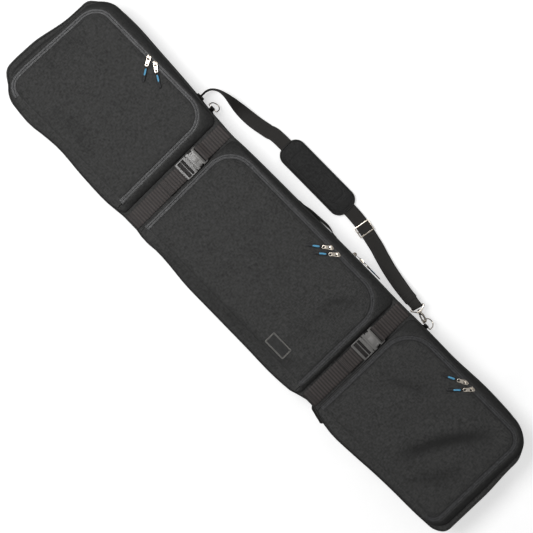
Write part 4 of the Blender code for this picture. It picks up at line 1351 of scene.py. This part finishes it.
def cord_shape():
    """A thin loop through the tab's hole and a ribbed grip; returns the grip and its inlay."""
    grip = Batch()
    loop_path = curve([(7.4, 0, 0.9), (4.0, 0, 1.45), (-0.4, 0, 1.35), (-1.1, 0, 0.0),
                       (-0.4, 0, -1.35), (4.0, 0, -1.45), (7.4, 0, -0.9)], 0.6)
    grip.add(*tube(loop_path, 0.5, 8, up=(0, 1, 0)))
    place, width, thick = np.array([
        (6.4, 1.4, 0.5), (6.7, 2.2, 0.9), (7.6, 2.9, 1.15), (9.0, 3.3, 1.25), (20.0, 3.5, 1.3),
        (30.0, 3.6, 1.3), (36.0, 3.6, 1.3), (38.6, 3.2, 1.15), (39.6, 2.2, 0.8), (40.0, 1.0, 0.4)]).T
    turn = np.arange(16) * 2 * math.pi / 16
    shape = np.stack([np.cos(turn), np.sign(np.sin(turn)) * np.abs(np.sin(turn)) ** 0.6], axis=1)
    run = np.linspace(6.4, 40.0, 85)
    ribs = 0.12 * np.clip(np.sin(run * 2 * math.pi / 2.2), 0, 1) * ((run > 27) & (run < 37))
    wide = np.interp(run, place, width)
    tall = np.interp(run, place, thick) + ribs
    profile = shape[None, :, :] * np.stack([wide, tall], axis=1)[:, None, :]
    path = np.stack([run, 0 * run, 0 * run], axis=1)
    grip.add(*sweep(path, *frames(path, (0, 0, 1)), profile))
    run = np.linspace(9.5, 25.0, 20)
    path = np.stack([run, 0 * run, 0 * run + 1.15], axis=1)
    taper = np.sqrt(np.clip(1 - ((run - 17.25) / 7.9) ** 8, 0.05, 1))
    flat = band(2.0, 0.42, 4)[None, :, :] * taper[:, None, None]
    under = path - (0, 0, 2.3)
    inlay = Batch().add(*sweep(path, *frames(path, (0, 0, 1)), flat))
    inlay.add(*sweep(under, *frames(under, (0, 0, 1)), flat))
    return grip, inlay


def make_pulls():
    """Eight sliders, each with its tab and its soft pull."""
    tab_points, tab_faces = tab_shape()
    slider = slider_shape()
    grip, inlay = cord_shape()
    for name in PULLS:
        pivot = joint_place(name + "_tab_hinge")
        hole = joint_place(name + "_cord_swing")
        normal = np.array(JOINTS[name + "_cord_swing"]["axis"], float)
        turned = upright_axes(unit(hole - pivot), normal)
        make(name + "_tab_metal", placed(tab_points, pivot, turned), tab_faces, METAL,
             name + "_tab", [name + "_pull_tab"], "warm_nickel", 40.0)

        straight = upright_axes(np.array(JOINTS[name + "_slide"]["axis"], float), normal)
        low, high = node_box(name + "_slider")
        base = pivot + normal * (min(low @ normal, high @ normal) - pivot @ normal)
        body = Batch().add(placed(slider.points, base, straight), slider.faces)
        rise = (pivot - base) @ normal
        bridge = curve([(-3.4, 0, 1.2), (-3.2, 0, rise + 0.6), (-1.8, 0, rise + 1.75),
                        (1.8, 0, rise + 1.75), (3.2, 0, rise + 0.6), (3.4, 0, 1.2)], 0.5)
        points, faces = sweep(bridge, *frames(bridge, (0, 1, 0)), band(0.5, 1.1, 3)[:, ::-1] * (1, -1))
        body.add(placed(points, base, turned), faces)
        body.make(name + "_slider_metal", METAL, name + "_slider", [name + "_slider"],
                  "warm_nickel", 40.0)

        low, high = node_box(name + "_cord_pull")
        toward = (low + high) / 2 - hole
        toward = unit(toward - normal * (toward @ normal))
        bent = upright_axes(toward, normal)
        make(name + "_cord_grip", placed(grip.points, hole, bent), grip.faces, RUBBER,
             name + "_cord", [name + "_cord_pull"], "pull_cord", 50.0)
        make(name + "_cord_inlay", placed(inlay.points, hole, bent), inlay.faces, INLAY,
             name + "_cord", (), "pull_cord", 50.0)


make_pulls()


# ---------------------------------------------------------------- label
def make_label():
    """A blank woven patch with a plain pale border, sewn flat on the middle flap."""
    low, high = node_box("label_patch")
    height = flap_height("middle")
    center = (low + high) / 2
    half = (high - low) / 2

    def lay(inset, lift, radius=1.5):
        outline = rectangle(center, half[0] - inset, half[1] - inset, radius)
        return level(outline, 22, np.linspace(0, 1, 16), lambda x, y: height(x, y) + lift, 3)

    loops = [border(lay(-0.15, 0.5)), border(lay(0.0, 0.1))]
    make("label_patch_cloth", *skin(lay(0.0, 0.9), loops, lay(1.0, -0.3)), PATCH,
         "middle_flap", ["label_patch"], "label_weave")
    edging = Batch()
    for inset, radius in ((2.2, 0.42), (4.0, 0.25)):
        ring = border(lay(inset, 1.0, 1.2))
        edging.add(*tube(closed_line(ring, 1.0), radius, 6, closed=True))
    edging.make("label_patch_border", PATCH_BORDER, "middle_flap", slot="label_weave")


make_label()

# ---------------------------------------------------------------- shoulder strap
ANCHOR_LOW, ANCHOR_HIGH = node_box("upper_strap_anchor")
PAD_LOW, PAD_HIGH = node_box("shoulder_pad")
PAD_CENTER = (PAD_LOW + PAD_HIGH) / 2
PAD_HALF = (PAD_HIGH - PAD_LOW) / 2
STRAP_Z = 6.0
STRAP_THICK = 0.9
EYE_REACH = 13.0                            # from the hook's swivel back to the eye's bar
EYE_TURN = 2.9                              # radius of the strap's turn round that bar
EYE_HALF_WIDTH = 12.8
RETURN_WEB = (-292.0, -117.0)               # where the doubled length starts and ends along Y
ANCHOR_Y = (ANCHOR_LOW[1] + ANCHOR_HIGH[1]) / 2

# x, y, z, bank in degrees (0 flat, 90 on edge), half width
STRAP_STATIONS = (
    (150.5, ANCHOR_Y, 18.0, 90, 9.5), (159.0, ANCHOR_Y, 17.8, 90, 9.6),
    (168.0, ANCHOR_Y - 0.5, 17.5, 90, 10.0), (180.0, 365.0, 16.5, 90, 12.0),
    (189.0, 352.0, 16.0, 85, 13.5), (193.0, 334.0, 15.5, 72, 14.5),
    (194.0, 310.0, 14.0, 52, 16.0), (194.3, 288.0, 11.0, 33, 16.0),
    (195.8, 263.0, 8.5, 15, 16.0), (199.0, 238.0, 6.8, 4, 16.0), (205.0, 208.0, STRAP_Z, 0, 16.0),
    (PAD_CENTER[0], 178.0, STRAP_Z, 0, 16.0), (PAD_CENTER[0], 55.0, STRAP_Z, 0, 16.0),
    (PAD_CENTER[0], -67.0, STRAP_Z, 0, 16.0), (199.0, -140.0, STRAP_Z, 0, 16.0),
    (189.5, -175.0, 6.3, 0, 16.0), (180.5, -210.0, 8.5, 0, 16.0), (174.0, -245.0, 13.0, 0, 16.0),
    (169.8, -275.0, 19.0, 0, 15.2), (167.8, -298.0, 25.0, 0, EYE_HALF_WIDTH))


def eye_turn(side, above):
    """The strap's way round the swivel eye's bar, with `side` and `above` from its last point."""
    along = np.array(JOINTS["hook_swivel"]["axis"], float)
    across = unit(np.array([-along[1], along[0], 0.0]))
    rise = np.cross(along, across)
    rise = rise if rise[2] > 0 else -rise
    center = joint_place("hook_swivel") - along * EYE_REACH
    turn = np.radians(90 - 10 * np.arange(22))
    path = center + EYE_TURN * (along * np.cos(turn)[:, None] + rise * np.sin(turn)[:, None])
    sides = np.repeat(across[None, :], len(path), axis=0)
    ups = unit(path - center)
    return (path, sides if across @ side > 0 else -sides, ups if ups[0] @ above > 0 else -ups)


def make_shoulder_strap():
    """The strap from its sewn end, through the pad, to its turn round the swivel eye."""
    table = np.array(STRAP_STATIONS, float)
    path = curve(table[:, :3], 1.5)
    run = np.concatenate(([0.0], np.cumsum(np.linalg.norm(np.diff(table[:, :3], axis=0), axis=1))))
    here = np.linspace(0.0, run[-1], len(path))
    bank = np.radians(np.interp(here, run, table[:, 3]))
    half = np.interp(here, run, table[:, 4])
    tangent = unit(np.gradient(path, axis=0))
    flat = unit(np.cross((0, 0, 1.0), tangent))
    side = flat * np.cos(bank)[:, None] + np.cross(tangent, flat) * np.sin(bank)[:, None]
    above = np.cross(side, tangent)

    turn_path, turn_side, turn_above = eye_turn(side[-1], above[-1])
    path = np.vstack([path, turn_path])
    side = np.vstack([side, turn_side])
    above = np.vstack([above, turn_above])
    half = np.concatenate([half, np.full(len(turn_path), EYE_HALF_WIDTH)])
    base = band(1.0, STRAP_THICK, 10)
    profile = np.repeat(base[None, :, :], len(path), axis=0).copy()
    stretch = (half - STRAP_THICK) / (1.0 - STRAP_THICK)
    inner = np.clip(base[:, 0], -(1.0 - STRAP_THICK), 1.0 - STRAP_THICK)
    profile[..., 0] = inner[None, :] * stretch[:, None] + (base[:, 0] - inner)[None, :]
    rib = 0.10 * np.abs(np.sin(math.pi * np.arange(len(path)) * 1.5 / 3.0))
    profile[..., 1] += np.sign(base[:, 1]) * rib[:, None]
    batch = Batch().add(*sweep(path, side, above, profile))
    made = batch.make("shoulder_strap_web", SMOOTH, "strap", ["shoulder_strap"], "smooth_webbing")
    recalculate(made)
    return path, above


def make_return_web(path, above):
    """The webbing's free end, doubled back from the swivel eye up to the three-bar slide."""
    here = (path[:, 1] > RETURN_WEB[0]) & (path[:, 1] < RETURN_WEB[1])
    path = path[here] + above[here] * np.sign(above[here][:, 2:]) * 2.0
    side, above = frames(path, (0, 0, 1))
    batch = Batch().add(*sweep(path, side, above, band(15.2, 0.85, 8)))
    batch.make("shoulder_strap_return_web", SMOOTH, "strap", slot="smooth_webbing")
    sewn = Batch()
    for share in (-0.78, 0.78):
        stitches(sewn, path + side * 15.2 * share + above * 0.95, (0, 0, 1), (3.0, 2.1, 0.26))
    for row in (2, 6, len(path) - 8, len(path) - 14):
        ends = np.stack([path[row] - side[row] * 13.0, path[row] + side[row] * 13.0])
        stitches(sewn, ends + above[row] * 0.95, (0, 0, 1), (2.4, 1.8, 0.28))
    sewn.make("shoulder_strap_stitches", THREAD, "strap", slot="smooth_webbing")


make_return_web(*make_shoulder_strap())


# ---------------------------------------------------------------- shoulder pad
PAD_CORNER = 24.0
PAD_PANEL = (10.0, 33.0, 10.0)              # the raised panel's two insets and its corner radius
PUFF_FRAMES = 20
PUFF_CAP = 3.0
PUFF_SHARES = (0.05, 0.05, 1.0)             # the pad puffs upwards and keeps its outline


def puffed(form):
    """How far each point moves when the cloth is blown up by pressure, in metres."""
    rest = np.array([v.co for v in form.data.vertices])
    cloth = form.modifiers.new("Cloth", "CLOTH")
    cloth.settings.quality = 6
    cloth.settings.mass = 0.3
    cloth.settings.tension_stiffness = 18
    cloth.settings.compression_stiffness = 12
    cloth.settings.bending_stiffness = 0.6
    cloth.settings.use_pressure = True
    cloth.settings.uniform_pressure_force = 4.0
    cloth.settings.effector_weights.gravity = 0.0
    cloth.point_cache.frame_start = 1
    cloth.point_cache.frame_end = PUFF_FRAMES
    for step in range(1, PUFF_FRAMES + 1):
        bpy.context.scene.frame_set(step)
    blown = evaluated_copy(form)
    form.modifiers.clear()
    bpy.context.scene.frame_set(1)
    moved = np.array([v.co for v in blown.vertices]) - rest
    length = np.linalg.norm(moved, axis=1, keepdims=True)
    return moved * np.minimum(1.0, PUFF_CAP * MM / np.maximum(length, 1e-9)) * PUFF_SHARES


def settle_pad(points, faces):
    """Puff the pad up as a cushion: voxel mesh, cloth with pressure, then smoothing."""
    mesh = bpy.data.meshes.new("pad_form")
    mesh.from_pydata((np.asarray(points) * MM).tolist(), [], faces)
    form = bpy.data.objects.new("pad_form", mesh)
    bpy.context.scene.collection.objects.link(form)
    remesh = form.modifiers.new("Remesh", "REMESH")
    remesh.mode = "VOXEL"
    remesh.voxel_size = 4.0 * MM
    start = evaluated_copy(form)
    form.modifiers.clear()
    form.data = start
    rest = np.array([v.co for v in start.vertices])
    start.vertices.foreach_set("co", (rest + puffed(form)).ravel())
    smooth = form.modifiers.new("Subdivision", "SUBSURF")
    smooth.levels = 1
    smooth.render_levels = 1
    final = evaluated_copy(form)
    found = np.array([v.co for v in final.vertices]) / MM
    quads = [tuple(f.vertices) for f in final.polygons]
    bpy.data.objects.remove(form)
    return found, quads


def box_distance(x, y, half_x, half_y, radius):
    """Signed distance to a rounded rectangle."""
    qx = np.abs(x) - half_x + radius
    qy = np.abs(y) - half_y + radius
    outside = np.hypot(np.maximum(qx, 0.0), np.maximum(qy, 0.0))
    return outside + np.minimum(np.maximum(qx, qy), 0.0) - radius


def surface_finder(points, faces):
    """A function that gives the height of a mesh's upper side at (x, y)."""
    tree = BVHTree.FromPolygons([tuple(p) for p in points], faces)

    def height(x, y):
        hit = tree.ray_cast(Vector((x, y, 200.0)), Vector((0, 0, -1)))
        return hit[0].z if hit[0] is not None else PAD_CENTER[2]
    return height


def make_pad():
    """Padded sleeve: puffed panel inside a sewn channel, and a bound edge."""
    wide, long = PAD_HALF[:2]
    middle = PAD_CENTER[2]
    pad = rectangle(PAD_CENTER, wide, long, PAD_CORNER)
    across = np.linspace(0, 1, 18)
    top = level(pad.inset(7.0), 34, across, PAD_HIGH[2] - 2.2)
    steps = ((3.0, PAD_HIGH[2] - 3.2), (1.2, middle + 1.4), (1.2, middle - 1.4),
             (3.0, PAD_LOW[2] + 2.2))
    loops = [border(level(pad.inset(inset), 34, across, z)) for inset, z in steps]
    under = level(pad.inset(7.0), 34, across, PAD_LOW[2] + 1.6)
    points, faces = settle_pad(*skin(top, loops, under))
    dx, dy = (points - PAD_CENTER)[:, :2].T
    upper = smoothstep(middle - 1.0, middle + 2.0, points[:, 2])
    inner = box_distance(dx, dy, wide - PAD_PANEL[0], long - PAD_PANEL[1], PAD_PANEL[2])
    edge = box_distance(dx, dy, wide, long, PAD_CORNER)
    crown = 0.9 * smoothstep(0.0, -14.0, inner)
    points[:, 2] += upper * (crown - 1.9 * np.exp(-(inner / 2.4) ** 2))
    points[:, 2] -= upper * 1.2 * np.exp(-((edge + 5.0) / 2.2) ** 2)
    points[:, 2] = np.clip(points[:, 2], PAD_LOW[2], PAD_HIGH[2] + 3.0)
    make("shoulder_pad_cloth", points, faces, PAD_CLOTH, "pad", ["shoulder_pad"], "pad_cloth")

    rim = border(level(pad.inset(0.8), 40, np.linspace(0, 1, 16), middle, 10))
    rim = closed_line(rim, 2.5)
    side, above = frames(rim, (0, 0, 1), True)
    binding = Batch().add(*sweep(rim, side, above, circle(3.3, 12) * (0.55, 1.0), True))
    binding.make("shoulder_pad_binding", BINDING, "pad", slot="pad_cloth")

    surface = surface_finder(points, faces)
    sewn = Batch()
    for inset_x, inset_y, radius in (PAD_PANEL, (5.0, 5.0, 19.0)):
        ring = rectangle(PAD_CENTER, wide - inset_x, long - inset_y, radius)
        line = border(level(ring, 30, np.linspace(0, 1, 14), 0.0, 8))
        line = spaced(np.vstack([line, line[:1]]), 2.0)
        line[:, 2] = [surface(x, y) + 0.12 for x, y in line[:, :2]]
        stitches(sewn, line, (0, 0, 1), (3.2, 2.2, 0.28))
    sewn.make("shoulder_pad_stitches", THREAD, "pad", slot="pad_cloth")


make_pad()


# ---------------------------------------------------------------- rings, tabs, handle, anchor
RING_WIRE = 1.25
RING_LEG = 8.0                              # straight length of the D's legs


def make_ring(name):
    """A wire D-ring and the folded webbing tab that holds it."""
    axis = joint_place(name + "_ring_swing")
    low, high = node_box(name + "_d_ring")
    out = unit(((low + high) / 2 - axis) * (1, 0, 1))
    half = (high[1] - low[1]) / 2 - RING_WIRE
    path = [axis + (0, -half, 0), axis + (0, half, 0)]
    path += [axis + out * reach + (0, along, 0)
             for reach, along in arc((RING_LEG, 0.0), half, 90, -90, 14)]
    path = closed_line(path, 1.2)
    for _ in range(2):
        path = (np.roll(path, 1, axis=0) + 2 * path + np.roll(path, -1, axis=0)) / 4
    up = np.cross(out, (0, 1, 0))
    ring = Batch().add(*tube(path, RING_WIRE, 14, up=up, closed=True))
    ring.make(name + "_ring_wire", METAL, name + "_ring", [name + "_d_ring"], "warm_nickel")

    low, high = node_box(name + "_d_ring_tab")
    wall = right_edge(axis[1]) + 0.7
    tab_half = (high[1] - low[1]) / 2
    line = [(wall, 6.0), (wall, 14.0), (wall, axis[2] - 4.0)]
    line += arc((axis[0], axis[2]), 2.1, 180, -95, 23)
    path = spaced([(x, axis[1], z) for x, z in line], 0.8)
    tab = web(Batch(), path, web_up(path), tab_half, 0.6, 2.5, 0.12)
    for z in (8.0, 19.5):
        bar = [(wall + 0.7, axis[1] + side * (tab_half - 1.2), z) for side in (-1, 1)]
        stitches(tab, bar, (1, 0, 0), TAB_STITCH)
    tab.make(name + "_ring_tab_web", SMOOTH, "shell", [name + "_d_ring_tab"], "smooth_webbing")


def make_handle():
    """Side handle: webbing with a thick rolled grip, and rows of stitches at both ends."""
    low, high = node_box("side_handle")
    z = (low[2] + high[2]) / 2
    half = (high[2] - low[2]) / 2
    y0, y1 = low[1] + 0.5, high[1] - 0.5
    # Places along the handle, each with how far the webbing stands off the wall
    line = [(right_edge(y) + out, y, z) for y, out in (
        (y1, 0.9), (y1 - 12, 0.9), (y1 - 26, 2.2), (y1 - 60, 4.0), (y0 + 34, 5.2), (y0 + 20, 4.0),
        (y0 + 11, 1.4), (y0, 0.9))]
    path = curve(line, 1.2)
    side, above = frames(path, (1, 0, 0))
    run = np.arange(len(path)) / (len(path) - 1)
    grip = 1 - 0.35 * np.clip(np.sin(math.pi * run), 0, 1) ** 4
    base = web_profile(half, 0.9, np.arange(len(path)) * 1.2, 3.0, 0.12)
    base[..., 0] *= grip[:, None]
    base[..., 1] *= 1.0 + 2.4 * smoothstep(0.10, 0.32, np.minimum(run, 1 - run))[:, None]
    handle = Batch().add(*sweep(path, side, above, base))
    for end in (y0 + 4.0, y0 + 9.0, y1 - 4.0, y1 - 9.0):
        bar = [(right_edge(end) + 2.0, end, z + side * (half - 2.5)) for side in (-1, 1)]
        stitches(handle, bar, (1, 0, 0), (1.9, 1.6, 0.3))
    handle.make("side_handle_web", SMOOTH, "shell", ["side_handle"], "smooth_webbing")


def make_anchor():
    """The strap's sewn end: three folded layers against the side wall, crossed with stitches."""
    low, high = ANCHOR_LOW, ANCHOR_HIGH
    _, y, z = (low + high) / 2
    block = Batch()
    for layer in range(3):
        x = low[0] + 0.9 + layer * 1.55
        shrink = 0.4 * layer
        path = spaced([(x, low[1] + shrink, z), (x, high[1] - shrink, z)], 1.5)
        side, above = frames(path, (1, 0, 0))
        block.add(*sweep(path, side, above, band((high[2] - low[2]) / 2 - shrink, 0.72)))
    face = high[0] - 0.1
    for y0, z0, y1, z1 in ((-7, -7, 7, 7), (-7, 7, 7, -7), (-7, -7, -7, 7), (7, -7, 7, 7)):
        line = [(face, y + y0, z + z0), (face, y + y1, z + z1)]
        stitches(block, line, (1, 0, 0), (2.0, 1.6, 0.28))
    block.make("upper_strap_anchor_web", SMOOTH, "shell", ["upper_strap_anchor"], "smooth_webbing")


def make_left_loop():
    """A small folded webbing tab, three layers thick, on the left side by the lower strap."""
    batch = Batch()
    for out, half_thick in ((-1.0, 1.5), (-3.8, 1.4), (-6.4, 1.2)):
        path = curve([(-147.0, -304, 40), (-152.0 + out, -308, 41), (-155.5 + out, -318, 42),
                      (-158.0 + out, -327, 42), (-160.0 + out, -336, 42), (-161.3 + out, -344, 41),
                      (-157.0, -351, 40)], 1.0)
        web(batch, path, (-1, 0, 0), 9.0, half_thick, 3.0, 0.12)
    batch.make("left_side_loop_web", SMOOTH, "shell", slot="smooth_webbing")


make_ring("upper")
make_ring("lower")
make_handle()
make_anchor()
make_left_loop()


# ---------------------------------------------------------------- studio, in metres
FLOOR_SIZE = 6.0
FLOOR_Z = -0.0004


def make_floor():
    """A wide plain floor, just below the bag."""
    corners = [(x, y, FLOOR_Z) for x, y in arc((0.0, 0.0), FLOOR_SIZE * math.sqrt(2), 225, 495, 3)]
    mesh = bpy.data.meshes.new("studio_floor")
    mesh.from_pydata(corners, [], [(0, 1, 2, 3)])
    mesh.materials.append(floor_material())
    made = bpy.data.objects.new("studio_floor", mesh)
    bpy.context.scene.collection.objects.link(made)


def add_light(name, place, target, size, power):
    data = bpy.data.lights.new(name, "AREA")
    data.shape = "RECTANGLE"
    data.size = size[0]
    data.size_y = size[1]
    data.energy = power
    made = bpy.data.objects.new(name, data)
    made.location = place
    made.rotation_euler = (Vector(target) - Vector(place)).to_track_quat("-Z", "Y").to_euler()
    bpy.context.scene.collection.objects.link(made)


def make_studio():
    make_floor()
    add_light("overhead_softbox", (-0.35, 1.0, 2.4), (0, 0, 0), (1.3, 1.1), 33)
    add_light("side_softbox", (2.2, 0.6, 1.2), (0, 0, 0), (0.8, 1.6), 5)
    world = bpy.data.worlds.new("studio")
    world.use_nodes = True
    nodes, links = world.node_tree.nodes, world.node_tree.links
    nodes["Background"].inputs["Color"].default_value = (1.0, 1.0, 1.0, 1.0)
    place = nodes.new("ShaderNodeTexCoord").outputs["Generated"]
    parts = nodes.new("ShaderNodeSeparateXYZ")
    sky = nodes.new("ShaderNodeMapRange")
    links.new(place, parts.inputs[0])
    links.new(parts.outputs["Z"], sky.inputs["Value"])
    sky.inputs["To Min"].default_value = 0.12
    sky.inputs["To Max"].default_value = 0.38
    seen = nodes.new("ShaderNodeMix")
    seen.inputs["B"].default_value = 0.93
    links.new(nodes.new("ShaderNodeLightPath").outputs["Is Camera Ray"], seen.inputs["Factor"])
    links.new(sky.outputs["Result"], seen.inputs["A"])
    links.new(seen.outputs["Result"], nodes["Background"].inputs["Strength"])
    bpy.context.scene.world = world
    bpy.context.scene.view_settings.view_transform = "Standard"


CAMERA_TURN = math.radians(44.47)           # the picture's up direction leans from +Y towards +X
CAMERA_TILT = (0.07, -0.035)                # how far the view leans towards +X and +Y
CAMERA_DISTANCE = 2.6
CAMERA_LENS = 78.52
CAMERA_TARGET = (-0.0096, -0.0096, 0.05)


def make_camera():
    data = bpy.data.cameras.new("camera")
    data.lens = CAMERA_LENS
    data.sensor_width = 36.0
    made = bpy.data.objects.new("camera", data)
    back = Vector((CAMERA_TILT[0], CAMERA_TILT[1], 1.0)).normalized()
    up = Vector((math.sin(CAMERA_TURN), math.cos(CAMERA_TURN), 0.0))
    up = (up - back * up.dot(back)).normalized()
    right = up.cross(back)
    place = Vector(CAMERA_TARGET) + back * CAMERA_DISTANCE
    made.matrix_world = Matrix((right, up, back)).transposed().to_4x4()
    made.matrix_world.translation = place
    bpy.context.scene.collection.objects.link(made)
    bpy.context.scene.camera = made


make_studio()
make_camera()
